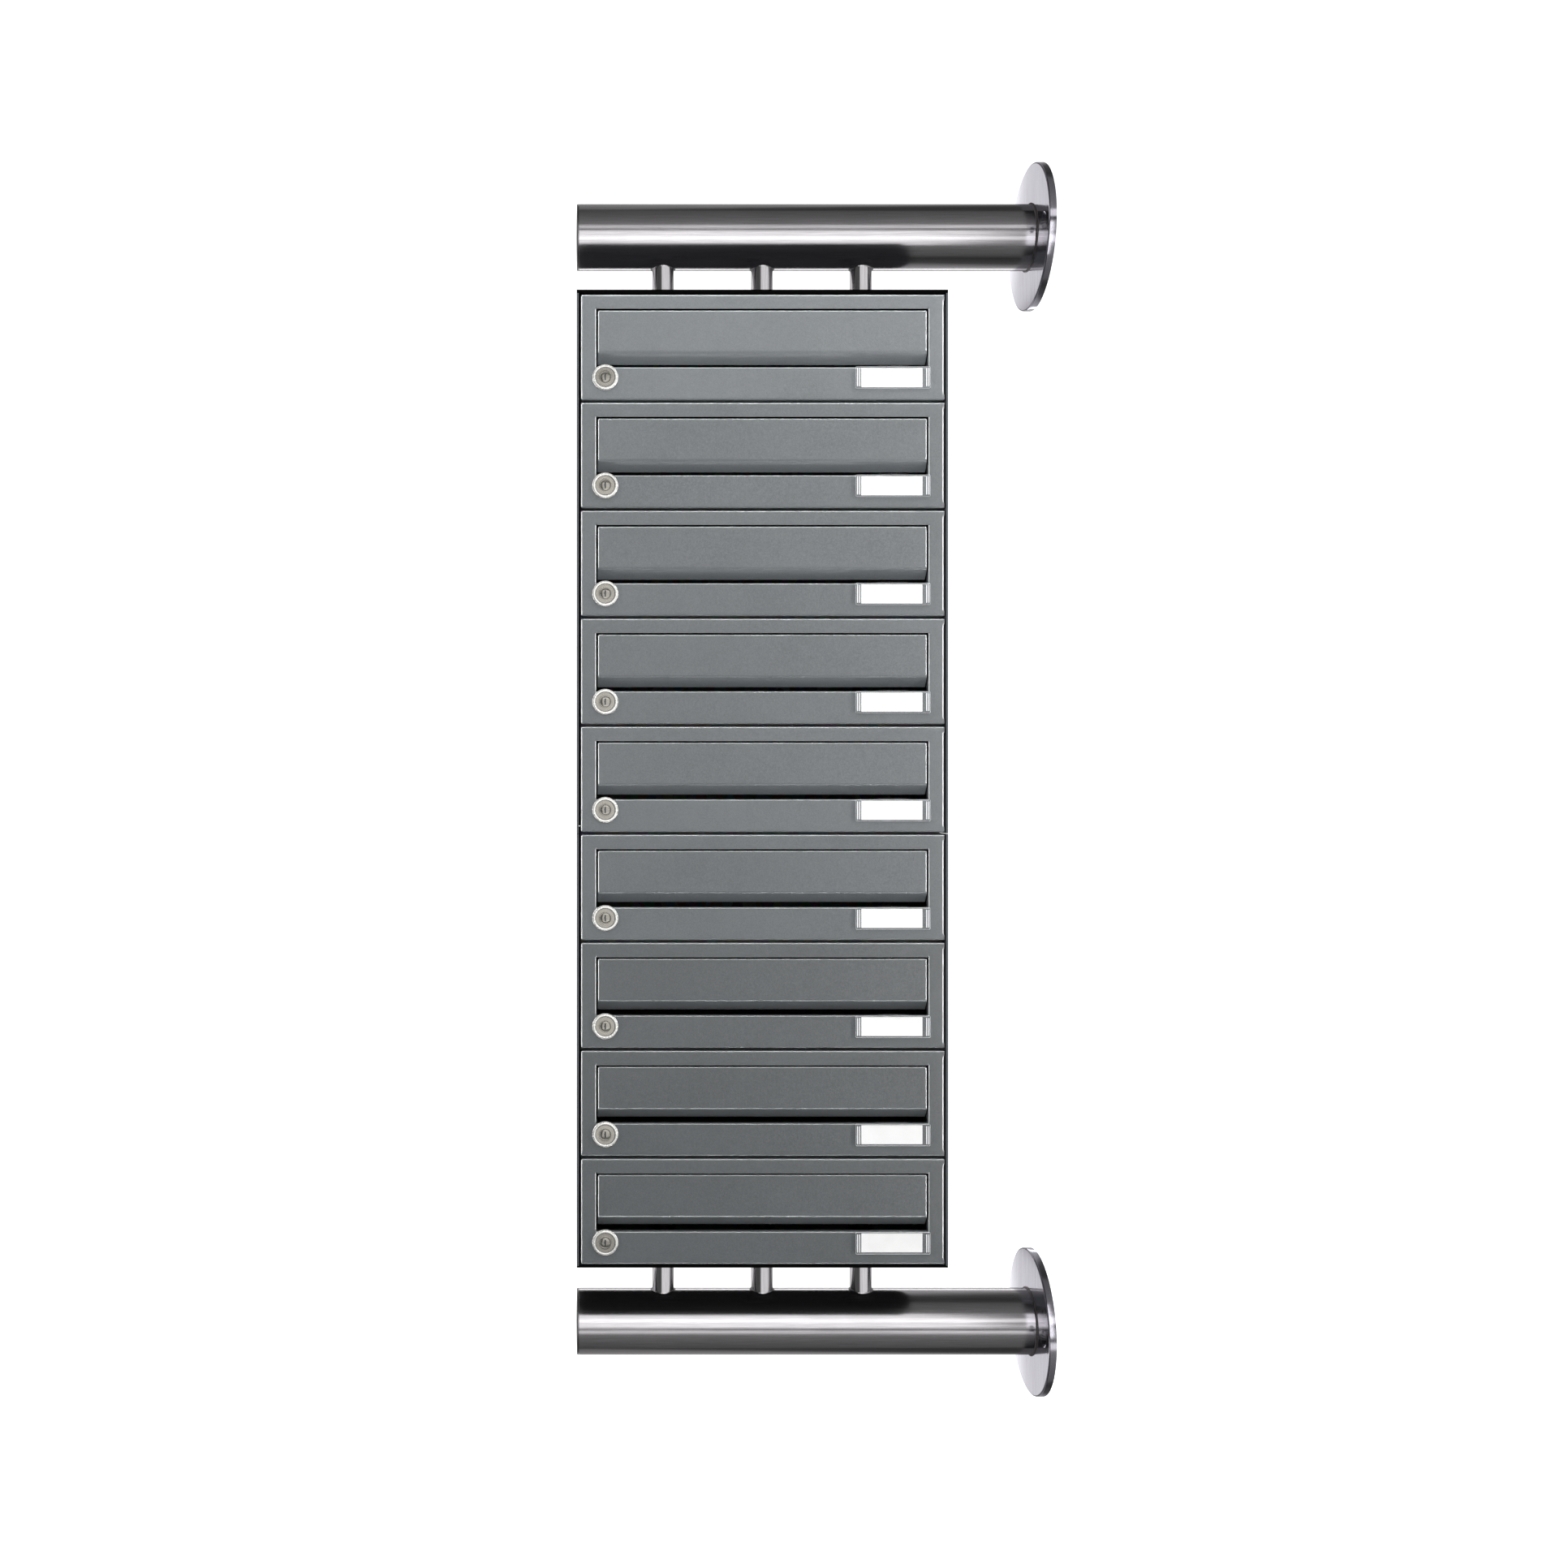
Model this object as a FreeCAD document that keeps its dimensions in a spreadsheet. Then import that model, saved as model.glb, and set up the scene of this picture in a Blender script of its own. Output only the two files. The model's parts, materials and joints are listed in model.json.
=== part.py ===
import FreeCAD, Part

import os
import re

import Sketcher

# Cluster mailbox unit: nine stacked letterboxes in a two-part cladding, carried by two tubes
# that stand out sideways from a wall.
# Frame: origin on the wall plane, midway between the two wall flanges. +X points into the wall,
# +Y to the back of the boxes, +Z up. The doors face -Y. Millimetres.

SIZES = {
    # letterboxes
    "box_pitch": 110,
    "box_width": 370,
    "box_depth": 270,
    "upper_count": 5,
    "lower_count": 4,
    "body_sheet": 1,
    "body_front": 16,
    "body_slack": 0.6,
    "body_flange_side": 12,
    "body_flange_lock": 14,
    "body_flange_level": 6,
    # cladding
    "casing_sheet": 2,
    "side_gap": 2,
    "roof_rise": 3.5,
    "shell_joint": 0.6,
    "back_sheet": 1.5,
    "trim_depth": 4,
    # door, measured from its own lower front edge
    "door_gap": 2.5,
    "door_depth": 14,
    "door_sheet": 1.5,
    "door_edge_radius": 2,
    "slot_width": 338,
    "slot_low": 33.4,
    "slot_high": 92.7,
    "slot_cheek": 9,
    "slot_hem": 6,
    # door pivots
    "pivot_inset": 4,
    "pivot_back": 5,
    "pivot_radius": 1.5,
    "pivot_clearance": 0.07,
    "pivot_short": 0.2,
    "lug_gap": 0.5,
    "lug_width": 4,
    "lug_thick": 3,
    "lug_radius": 3,
    "lug_notch": 6.5,
    # flap
    "flap_gap": 1.5,
    "flap_sheet": 1.5,
    "flap_bend": 48.8,
    "flap_lip_low": 38.3,
    "flap_lip_back": 11,
    "flap_fold_rise": 0.64,
    "flap_lip_end_back": 1.04,
    "flap_lip_end_rise": 1.09,
    "flap_axis_back": 4,
    "flap_axis_drop": 6,
    "flap_eye_radius": 3,
    "flap_rod_radius": 1.5,
    "flap_rod_clearance": 0.08,
    "flap_rod_proud": 1,
    # lock
    "lock_side": 25,
    "lock_up": 22.7,
    "rosette_radius": 13.2,
    "rosette_proud": 2.6,
    "rosette_dish": 1.9,
    "rosette_dish_radius": 8.6,
    "rosette_crown_inner": 9.3,
    "rosette_crown_outer": 10.6,
    "rosette_shoulder_radius": 12.5,
    "rosette_shoulder": 1.8,
    "rosette_edge": 0.5,
    "barrel_radius": 8,
    "barrel_length": 17.5,
    "barrel_clearance": 0.15,
    "plug_radius": 6,
    "plug_clearance": 0.05,
    "plug_proud": 2,
    "cam_start": 18,
    "cam_thick": 2,
    "cam_reach": 16,
    "cam_width": 12,
    "cam_eye_radius": 7,
    "keyway_width": 1.4,
    "keyway_height": 6.4,
    "keyway_depth": 5,
    "nut_flats": 18,
    "nut_thick": 3,
    "cam_screw_radius": 4,
    "cam_screw_head": 2,
    # name plate
    "plate_width": 76,
    "plate_height": 22.3,
    "plate_thick": 3,
    "plate_side": 52.5,
    "plate_top": 33.4,
    "plate_hook_width": 30,
    "plate_hook_back": 3,
    "plate_hook_rise": 1,
    "insert_width": 64,
    "insert_height": 18,
    "insert_thick": 0.5,
    # rubber buffers
    "buffer_width": 6,
    "buffer_height": 8,
    "buffer_low": 12,
    "buffer_high": 88,
    # carrier tubes and their wall flanges
    "wall_gap": 128,
    "tube_radius": 35,
    "tube_wall": 2,
    "tube_level": 597.5,
    "flange_radius": 78,
    "flange_thick": 8,
    "screw_circle": 115,
    "screw_hole": 9,
    "screw_sink": 17,
    "cap_edge": 2,
    "cap_plug": 14,
    "cap_wall": 3,
    # hangers
    "sleeve_radius": 12,
    "sleeve_first": 94,
    "sleeve_pitch": 109,
    "hanger_bore": 6.2,
    "hanger_radius": 6,
    "hanger_reach": 45,
    "hanger_head": 9.5,
    "hanger_head_thick": 5,
    "washer_radius": 14,
    "washer_thick": 2,
    # how far a cutting tool runs past the sheet that it cuts
    "overrun": 1,
}

UPPER, LOWER = 1, -1
WORD = re.compile(r"[a-z][a-z0-9_]*")

doc = FreeCAD.newDocument("ClusterMailboxUnit")
sheet = doc.addObject("Spreadsheet::Sheet", "Sizes")
for row, (alias, value) in enumerate(SIZES.items(), start=1):
    sheet.set(f"A{row}", alias)
    sheet.set(f"B{row}", str(value))
    sheet.setAlias(f"B{row}", alias)
doc.recompute()

BOX_COUNT = SIZES["upper_count"] + SIZES["lower_count"]
BOXES = range(1, BOX_COUNT + 1)

# Places that several pieces share, as formulas on the sheet's cells.
CENTRE_X = "(-wall_gap - casing_sheet - side_gap - box_width / 2)"
FRONT_Y = "(-box_depth / 2)"
STACK_TOP = "((upper_count + lower_count) * box_pitch / 2)"
SHELL_SPLIT = f"({STACK_TOP} - upper_count * box_pitch)"
SHELL_WIDTH = "(box_width + 2 * side_gap + 2 * casing_sheet)"
DOOR_HEIGHT = "(box_pitch - door_gap)"
SLEEVE_XS = [f"({CENTRE_X} - sleeve_first + {i} * sleeve_pitch)" for i in range(3)]

parts = []


def formula(text):
    """A formula on the sheet's cells, with each alias written as a cell of the sheet."""
    return WORD.sub(lambda m: "Sizes." + m[0] if m[0] in SIZES else m[0], str(text))


def bind(thing, **formulas):
    for name, text in formulas.items():
        thing.setExpression(name, formula(text))


def place(thing, x=0, y=0, z=0):
    for axis, text in (("x", x), ("y", y), ("z", z)):
        thing.setExpression(f"Placement.Base.{axis}", formula(text))
    return thing


def turn(thing, axis, angle):
    """Sets the direction of a piece, before place() binds its position."""
    thing.Placement = FreeCAD.Placement(FreeCAD.Vector(), FreeCAD.Rotation(FreeCAD.Vector(*axis), angle))
    return thing


def keep(thing, label):
    """Makes a piece a sub-part, which is written to its own file."""
    thing.Label = label
    parts.append(thing)
    return thing


# ---- Part primitives and booleans ----


def block(name, size, at):
    """A box of size (x, y, z) with its lowest corner at a place."""
    made = doc.addObject("Part::Box", name)
    bind(made, Length=size[0], Width=size[1], Height=size[2])
    return place(made, *at)


def rod(name, radius, length, at, axis=None, angle=0):
    """A cylinder that starts at a place and points along +Z unless it is turned."""
    made = doc.addObject("Part::Cylinder", name)
    bind(made, Radius=radius, Height=length)
    if axis:
        turn(made, axis, angle)
    return place(made, *at)


def rod_y(name, radius, length, at):
    return rod(name, radius, length, at, (1, 0, 0), -90)


def rod_x(name, radius, length, at):
    return rod(name, radius, length, at, (0, 1, 0), 90)


def fuse(name, *pieces):
    made = doc.addObject("Part::MultiFuse", name)
    made.Shapes = list(pieces)
    made.Refine = True
    return made


def cut(name, base, *tools):
    made = doc.addObject("Part::Cut", name)
    made.Base = base
    made.Tool = tools[0] if len(tools) == 1 else fuse(name + "Tools", *tools)
    made.Refine = True
    return made


def group(label, *pieces):
    """Several separate solids of one kind in one sub-part."""
    made = doc.addObject("Part::Compound", label)
    made.Links = list(pieces)
    return keep(made, label)


# ---- PartDesign bodies ----


def body(label):
    return keep(doc.addObject("PartDesign::Body", label), label)


def sketch_on(owner, plane, name):
    made = owner.newObject("Sketcher::SketchObject", name)
    planes = [o for o in owner.Origin.OriginFeatures if o.Role == plane]
    made.AttachmentSupport = (planes[0], [""])
    made.MapMode = "FlatFace"
    return made


def fix_point(sketch, geometry, point, x, y):
    """Holds a point of the sketch at x and y from the sketch's origin, both formulas."""
    for kind, text in (("DistanceX", x), ("DistanceY", y)):
        at = sketch.getPoint(geometry, point)
        now = at.x if kind == "DistanceX" else at.y
        number = sketch.addConstraint(Sketcher.Constraint(kind, -1, 1, geometry, point, now))
        sketch.setExpression(f"Constraints[{number}]", formula(text))


def outline(sketch, corners):
    """A closed outline of straight lines through corners given as pairs of formulas."""
    count = len(corners)
    start = FreeCAD.Vector(1, 0, 0)
    spin = FreeCAD.Rotation(FreeCAD.Vector(0, 0, 1), 360 / count)
    first = sketch.GeometryCount
    for _ in corners:
        end = spin.multVec(start)
        sketch.addGeometry(Part.LineSegment(start, end), False)
        start = end
    for i in range(count):
        following = first + (i + 1) % count
        sketch.addConstraint(Sketcher.Constraint("Coincident", first + i, 2, following, 1))
    for i, (x, y) in enumerate(corners):
        fix_point(sketch, first + i, 1, x, y)


def circle(sketch, x, y, radius):
    number = sketch.addGeometry(Part.Circle(FreeCAD.Vector(), FreeCAD.Vector(0, 0, 1), 1), False)
    fix_point(sketch, number, 3, x, y)
    radial = sketch.addConstraint(Sketcher.Constraint("Radius", number, 1))
    sketch.setExpression(f"Constraints[{radial}]", formula(radius))


def pad(owner, sketch, length, name, backwards=False):
    made = owner.newObject("PartDesign::Pad", name)
    made.Profile = sketch
    made.Reversed = backwards
    bind(made, Length=length)
    return made


def pocket(owner, sketch, length, name, backwards=False):
    made = owner.newObject("PartDesign::Pocket", name)
    made.Profile = sketch
    made.Reversed = backwards
    bind(made, Length=length)
    return made


def revolve(owner, sketch, axis, name):
    """A full turn about an axis of the sketch, H_Axis or V_Axis."""
    made = owner.newObject("PartDesign::Revolution", name)
    made.Profile = sketch
    made.ReferenceAxis = (sketch, [axis])
    made.Angle = 360
    return made


# ---- carrier tubes, wall flanges and hangers ----


def make_tube(label, side):
    made = body(label)
    ring = sketch_on(made, "YZ_Plane", "Ring")
    circle(ring, 0, 0, "tube_radius")
    circle(ring, 0, 0, "tube_radius - tube_wall")
    pad(made, ring, f"{SHELL_WIDTH} + wall_gap - cap_edge - flange_thick", "Length")
    place(made, f"-wall_gap - {SHELL_WIDTH} + cap_edge", 0, f"{side} * tube_level")


def make_wall_flange(label, side):
    made = body(label)
    disc = sketch_on(made, "YZ_Plane", "Disc")
    circle(disc, 0, 0, "flange_radius")
    pad(made, disc, "flange_thick", "Plate")
    hole_place = sketch_on(made, "YZ_Plane", "ScrewPlaces")
    circle(hole_place, "screw_circle / 2", 0, "screw_hole / 2")
    circle(hole_place, "-screw_circle / 2", 0, "screw_hole / 2")
    doc.recompute()
    screws = made.newObject("PartDesign::Hole", "ScrewHoles")
    screws.Profile = hole_place
    screws.DepthType = "ThroughAll"
    screws.HoleCutType = "Countersink"
    screws.HoleCutCountersinkAngle = 90
    screws.Reversed = True
    bind(screws, Diameter="screw_hole", HoleCutDiameter="screw_sink")
    place(made, "-flange_thick", 0, f"{side} * tube_level")


def make_end_cap(name, side):
    """A moulded plug: a rim that covers the tube's end and a hollow spigot inside the tube."""
    spigot = "tube_radius - tube_wall"
    rim = rod_x(name + "Rim", "tube_radius", "cap_edge", (0, 0, 0))
    plug = rod_x(name + "Plug", spigot, "cap_plug", ("cap_edge", 0, 0))
    hollow = rod_x(name + "Hollow", f"{spigot} - cap_wall", "cap_plug", ("cap_edge", 0, 0))
    made = cut(name, fuse(name + "Solid", rim, plug), hollow)
    return place(made, f"-wall_gap - {SHELL_WIDTH}", 0, f"{side} * tube_level")


def upright(name, side, radius, low, high, x):
    """An upright cylinder between two heights counted from mid-height towards one end."""
    start = low if side == UPPER else f"-({high})"
    return rod(name, radius, f"{high} - ({low})", (x, 0, start))


def make_hangers():
    """At each hanger, a sleeve welded to the tube, and a bolt with its washer from inside the end box."""
    sleeves, bolts, washers = [], [], []
    for side, word in ((UPPER, "Upper"), (LOWER, "Lower")):
        foot = f"{STACK_TOP} + " + ("roof_rise" if side == UPPER else "casing_sheet")
        inside = f"{STACK_TOP} - body_slack / 2 - body_sheet"
        for number, x in enumerate(SLEEVE_XS, start=1):
            mark = f"{word}{number}"
            outer = upright("Sleeve" + mark, side, "sleeve_radius", foot, "tube_level", x)
            thread = upright("Thread" + mark, side, "hanger_bore", foot, "tube_level", x)
            saddle = rod_x(
                "Saddle" + mark,
                "tube_radius",
                "4 * sleeve_radius",
                (f"{x} - 2 * sleeve_radius", 0, f"{side} * tube_level"),
            )
            sleeves.append(cut("CutSleeve" + mark, outer, thread, saddle))
            seat = f"{inside} - washer_thick"
            ring = upright("Washer" + mark, side, "washer_radius", seat, inside, x)
            ring_hole = upright("WasherHole" + mark, side, "hanger_bore", seat, inside, x)
            washers.append(cut("CutWasher" + mark, ring, ring_hole))
            head = upright("Head" + mark, side, "hanger_head", f"{seat} - hanger_head_thick", seat, x)
            shank = upright("Shank" + mark, side, "hanger_radius", seat, f"{seat} + hanger_reach", x)
            bolts.append(fuse("Bolt" + mark, head, shank))
    group("spacer_sleeves", *sleeves)
    group("hanger_bolts", *bolts)
    group("hanger_washers", *washers)


# ---- cladding ----


def make_casing(label, side):
    """A sheet folded to a U: two sides and the roof, or two sides and the floor."""
    half_in = "(box_width / 2 + side_gap)"
    half_out = f"({half_in} + casing_sheet)"
    end = f"{STACK_TOP} + " + ("roof_rise" if side == UPPER else "casing_sheet")
    open_end = SHELL_SPLIT if side == UPPER else f"(-{SHELL_SPLIT} + shell_joint)"
    made = body(label)
    profile = sketch_on(made, "XZ_Plane", "Fold")
    corners = [
        (half_out, open_end),
        (half_out, end),
        (f"-{half_out}", end),
        (f"-{half_out}", open_end),
        (f"-{half_in}", open_end),
        (f"-{half_in}", f"{end} - casing_sheet"),
        (half_in, f"{end} - casing_sheet"),
        (half_in, open_end),
    ]
    outline(profile, [(x, f"{side} * ({z})") for x, z in corners])
    pad(made, profile, "box_depth", "Sheet", backwards=True)
    notch = sketch_on(made, "XZ_Plane", "TrimSeat")
    far = f"{side} * ({end} + overrun)"
    near = f"{side} * {STACK_TOP}"
    wide = f"({half_out} + overrun)"
    outline(notch, [(f"-{wide}", near), (wide, near), (wide, far), (f"-{wide}", far)])
    pocket(made, notch, "trim_depth", "TrimCut")
    bores = sketch_on(made, "XY_Plane", "HangerPlaces")
    for x in SLEEVE_XS:
        circle(bores, f"{x} - {CENTRE_X}", "box_depth / 2", "hanger_bore")
    pocket(made, bores, f"{end} + overrun", "HangerBores", backwards=side == UPPER)
    place(made, CENTRE_X, FRONT_Y, 0)


def make_back_panels():
    width = "(box_width + 2 * side_gap)"
    left = f"({CENTRE_X} - {width} / 2)"
    back = f"({FRONT_Y} + box_depth - back_sheet)"
    top = f"({STACK_TOP} + roof_rise - casing_sheet)"
    upper_size = (width, "back_sheet", f"{top} - {SHELL_SPLIT}")
    lower_size = (width, "back_sheet", f"{SHELL_SPLIT} - shell_joint + {STACK_TOP}")
    upper = block("UpperBack", upper_size, (left, back, SHELL_SPLIT))
    lower = block("LowerBack", lower_size, (left, back, f"-{STACK_TOP}"))
    group("back_panels", upper, lower)


def make_edge_trims():
    left = f"({CENTRE_X} - {SHELL_WIDTH} / 2)"
    size = (SHELL_WIDTH, "trim_depth")
    upper = block("RoofTrim", (*size, "roof_rise"), (left, FRONT_Y, STACK_TOP))
    lower = block("FloorTrim", (*size, "casing_sheet"), (left, FRONT_Y, f"-{STACK_TOP} - casing_sheet"))
    group("edge_trims", upper, lower)


# ---- letterboxes ----


def box_floor(number):
    """The height of a box's lower pitch line, counted from the top box down."""
    return f"({STACK_TOP} - {number} * box_pitch)"


def door_place(number):
    """The place of a door's lower front edge, midway along it."""
    return CENTRE_X, FRONT_Y, f"{box_floor(number)} + door_gap / 2"


def make_letterbox(number):
    """A folded box body: open at the front, with flanges round the mouth and two hinge lugs."""
    mark = f"Box{number}"
    height = "(box_pitch - body_slack)"
    base = "body_slack / 2"
    depth = "(box_depth - back_sheet - body_front)"
    half = "(box_width / 2)"
    outer = block(mark + "Outer", ("box_width", depth, height), (f"-{half}", "body_front", base))
    hollow = block(
        mark + "Hollow",
        ("box_width - 2 * body_sheet", f"{depth} - 2 * body_sheet", f"{height} - 2 * body_sheet"),
        (f"body_sheet - {half}", "body_front + body_sheet", f"{base} + body_sheet"),
    )
    mouth_width = "box_width - body_flange_side - body_flange_lock"
    mouth = block(
        mark + "Mouth",
        (mouth_width, "3 * body_sheet", f"{height} - 2 * body_flange_level"),
        (f"body_flange_lock - {half}", "body_front - body_sheet", f"{base} + body_flange_level"),
    )
    shell = cut(mark + "Shell", outer, hollow, mouth)
    pieces = [shell]
    pin_x = f"({half} - pivot_inset)"
    for word, low in lug_heights().items():
        lug = block(
            mark + word + "Lug",
            ("lug_width", "body_front - pivot_back", "lug_thick"),
            (f"{pin_x} - lug_width / 2", "pivot_back", low),
        )
        eye = rod(mark + word + "Eye", "lug_radius", "lug_thick", (pin_x, "pivot_back", low))
        pieces += [lug, eye]
    folded = fuse(mark + "Folded", *pieces)
    low = lug_heights()["Lower"]
    bore = rod(mark + "PinBore", "pivot_radius", "box_pitch - 2 * lug_thick", (pin_x, "pivot_back", low))
    drilled = cut(mark, folded, bore, *hanger_bores(number))
    return place(drilled, CENTRE_X, FRONT_Y, box_floor(number))


def lug_heights():
    """The underside of each hinge lug, above the box's lower pitch line."""
    inside = "(door_gap / 2 + door_sheet + lug_gap)"
    return {"Lower": inside, "Upper": f"(box_pitch - {inside} - lug_thick)"}


def hanger_bores(number):
    """The holes for the hanger bolts in the top sheet of the first box and the floor of the last."""
    if number not in (1, BOX_COUNT):
        return []
    sheet_low = "box_pitch - body_slack / 2 - body_sheet" if number == 1 else "body_slack / 2"
    length = "body_sheet + 2 * overrun"
    bores = []
    for i, x in enumerate(SLEEVE_XS, start=1):
        at = (f"{x} - {CENTRE_X}", "box_depth / 2", f"{sheet_low} - overrun")
        bores.append(rod(f"Box{number}Hanger{i}", "hanger_bore", length, at))
    return bores


def make_hinge_pins():
    """Two short pivots a door, pressed into the lugs and running in the door's folded edges."""
    pins = []
    pin_x = f"({CENTRE_X} + box_width / 2 - pivot_inset)"
    pin_y = f"({FRONT_Y} + pivot_back)"
    length = "(lug_thick + lug_gap + door_sheet - pivot_short)"
    for number in BOXES:
        base = box_floor(number)
        low = f"{base} + door_gap / 2 + pivot_short"
        high = f"{base} + {lug_heights()['Upper']}"
        pins.append(rod(f"LowerPin{number}", "pivot_radius", length, (pin_x, pin_y, low)))
        pins.append(rod(f"UpperPin{number}", "pivot_radius", length, (pin_x, pin_y, high)))
    group("door_hinge_pins", *pins)


def make_buffers():
    """Rubber pads on the lock side of each mouth, where the door's edge lands."""
    pads = []
    left = f"({CENTRE_X} - box_width / 2)"
    back = f"({FRONT_Y} + door_depth)"
    size = ("buffer_width", "body_front - door_depth", "buffer_height")
    for number in BOXES:
        for word, up in (("Lower", "buffer_low"), ("Upper", "buffer_high")):
            at = (left, back, f"{box_floor(number)} + {up}")
            pads.append(block(f"{word}Buffer{number}", size, at))
    group("door_buffers", *pads)


def make_door(number):
    """A tray folded from one sheet: its edges point back, and the letter slot has cheeks and a hem."""
    mark = f"Door{number}"
    half = "(box_width / 2)"
    outer = block(mark + "Outer", ("box_width", "door_depth", DOOR_HEIGHT), (f"-{half}", 0, 0))
    rounded = doc.addObject("Part::Fillet", mark + "Rounded")
    rounded.Base = outer
    doc.recompute()
    radius = SIZES["door_edge_radius"]
    rounded.Edges = [(n, radius, radius) for n in front_edges(outer.Shape)]
    hollow = block(
        mark + "Hollow",
        ("box_width - 2 * door_sheet", "door_depth", f"{DOOR_HEIGHT} - 2 * door_sheet"),
        (f"door_sheet - {half}", "door_sheet", "door_sheet"),
    )
    tray = cut(mark + "Tray", rounded, hollow)
    cheeks = block(
        mark + "Cheeks",
        ("slot_width + 2 * door_sheet", "slot_cheek", "slot_high - slot_low + door_sheet"),
        ("-slot_width / 2 - door_sheet", 0, "slot_low - door_sheet"),
    )
    behind_hem = block(
        mark + "BehindHem",
        ("slot_width", "slot_cheek", "2 * door_sheet"),
        ("-slot_width / 2", "slot_hem", "slot_low - 2 * door_sheet"),
    )
    slot = block(
        mark + "Slot",
        ("slot_width", "4 * door_depth", "slot_high - slot_low"),
        ("-slot_width / 2", "-door_depth", "slot_low"),
    )
    lock_hole = rod_y(
        mark + "LockHole",
        "barrel_radius + barrel_clearance",
        "4 * door_sheet",
        (lock_x(), "-door_sheet", "lock_up"),
    )
    axis_y, axis_z = flap_axis()
    rod_hole = rod_x(
        mark + "RodHole",
        "flap_rod_radius + flap_rod_clearance",
        "slot_width + 4 * door_sheet",
        ("-slot_width / 2 - 2 * door_sheet", axis_y, axis_z),
    )
    pin_hole = rod(
        mark + "PinHole",
        "pivot_radius + pivot_clearance",
        "2 * box_pitch",
        (f"{half} - pivot_inset", "pivot_back", "-box_pitch / 2"),
    )
    notch_size = ("2 * door_sheet + overrun", "2 * door_depth", "lug_notch - door_sheet")
    notch_x = f"{half} - 2 * door_sheet"
    low_notch = block(mark + "LowNotch", notch_size, (notch_x, "door_sheet", "door_sheet"))
    high_notch_at = (notch_x, "door_sheet", f"{DOOR_HEIGHT} - lug_notch")
    high_notch = block(mark + "HighNotch", notch_size, high_notch_at)
    folded = fuse(mark + "Solid", tray, cheeks)
    openings = (behind_hem, slot, lock_hole, rod_hole, pin_hole, low_notch, high_notch)
    made = cut(f"door_{number}", folded, *openings)
    place(made, *door_place(number))
    keep(made, f"door_{number}")


def front_edges(shape):
    """Numbers of the edges of a box that lie in its front face, y = 0."""
    return [n for n, e in enumerate(shape.Edges, start=1) if e.BoundBox.YMax < 1e-6]


def lock_x():
    return "(lock_side - box_width / 2)"


def flap_axis():
    """The flap's hinge axis in the door's own frame: behind the panel, a little below the slot's top."""
    return "flap_axis_back", "(slot_high - flap_gap - flap_axis_drop)"


def make_flap(number):
    """A folded flap with a lip that slants inwards, an eye along its back and a steel rod in the eye."""
    mark = f"Flap{number}"
    half = "(slot_width / 2 - flap_gap)"
    axis_y, axis_z = flap_axis()
    leaf = doc.addObject("PartDesign::Body", mark + "Leaf")
    profile = sketch_on(leaf, "YZ_Plane", "Fold")
    top = "slot_high - flap_gap"
    outline(
        profile,
        [
            (0, top),
            (0, "flap_bend"),
            ("flap_lip_back", "flap_lip_low"),
            ("flap_lip_back + flap_lip_end_back", "flap_lip_low + flap_lip_end_rise"),
            ("flap_sheet", "flap_bend + flap_fold_rise"),
            ("flap_sheet", top),
        ],
    )
    sheet_pad = pad(leaf, profile, f"2 * {half}", "Leaf")
    sheet_pad.Midplane = True
    eye = rod_x(mark + "Eye", "flap_eye_radius", f"2 * {half}", (f"-{half}", axis_y, axis_z))
    bore = rod_x(mark + "Bore", "flap_rod_radius", f"2 * {half}", (f"-{half}", axis_y, axis_z))
    folded = cut(mark + "Folded", fuse(mark + "Solid", leaf, eye), bore)
    reach = "(slot_width / 2 + door_sheet + flap_rod_proud)"
    steel = rod_x(mark + "Rod", "flap_rod_radius", f"2 * {reach}", (f"-{reach}", axis_y, axis_z))
    made = group(f"flap_{number}", folded, steel)
    place(made, *door_place(number))


def make_lock_housing(number):
    """A rosette with a threaded barrel, and the nut that holds it behind the door panel."""
    mark = f"Housing{number}"
    round_part = doc.addObject("PartDesign::Body", mark + "Round")
    profile = sketch_on(round_part, "XY_Plane", "Section")
    bore = "plug_radius + plug_clearance"
    outline(
        profile,
        [
            (bore, "barrel_length"),
            (bore, "-rosette_dish"),
            ("rosette_dish_radius", "-rosette_dish"),
            ("rosette_crown_inner", "-rosette_proud"),
            ("rosette_crown_outer", "-rosette_proud"),
            ("rosette_shoulder_radius", "-rosette_shoulder"),
            ("rosette_radius", "-rosette_edge"),
            ("rosette_radius", 0),
            ("barrel_radius", 0),
            ("barrel_radius", "barrel_length"),
        ],
    )
    revolve(round_part, profile, "V_Axis", "Turned")
    nut_body = doc.addObject("PartDesign::Body", mark + "Nut")
    hexagon = sketch_on(nut_body, "XZ_Plane", "Hexagon")
    flat, tip = "(nut_flats / 2)", "(nut_flats / sqrt(3))"
    upper_half = [(tip, 0), (f"{tip} / 2", flat), (f"-{tip} / 2", flat)]
    lower_half = [(f"-{tip}", 0), (f"-{tip} / 2", f"-{flat}"), (f"{tip} / 2", f"-{flat}")]
    outline(hexagon, upper_half + lower_half)
    circle(hexagon, 0, 0, "barrel_radius")
    pad(nut_body, hexagon, "nut_thick", "Thickness", backwards=True)
    place(nut_body, 0, "door_sheet", 0)
    made = group(f"lock_housing_{number}", round_part, nut_body)
    x, y, z = door_place(number)
    place(made, f"{x} + {lock_x()}", y, f"{z} + lock_up")


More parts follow.
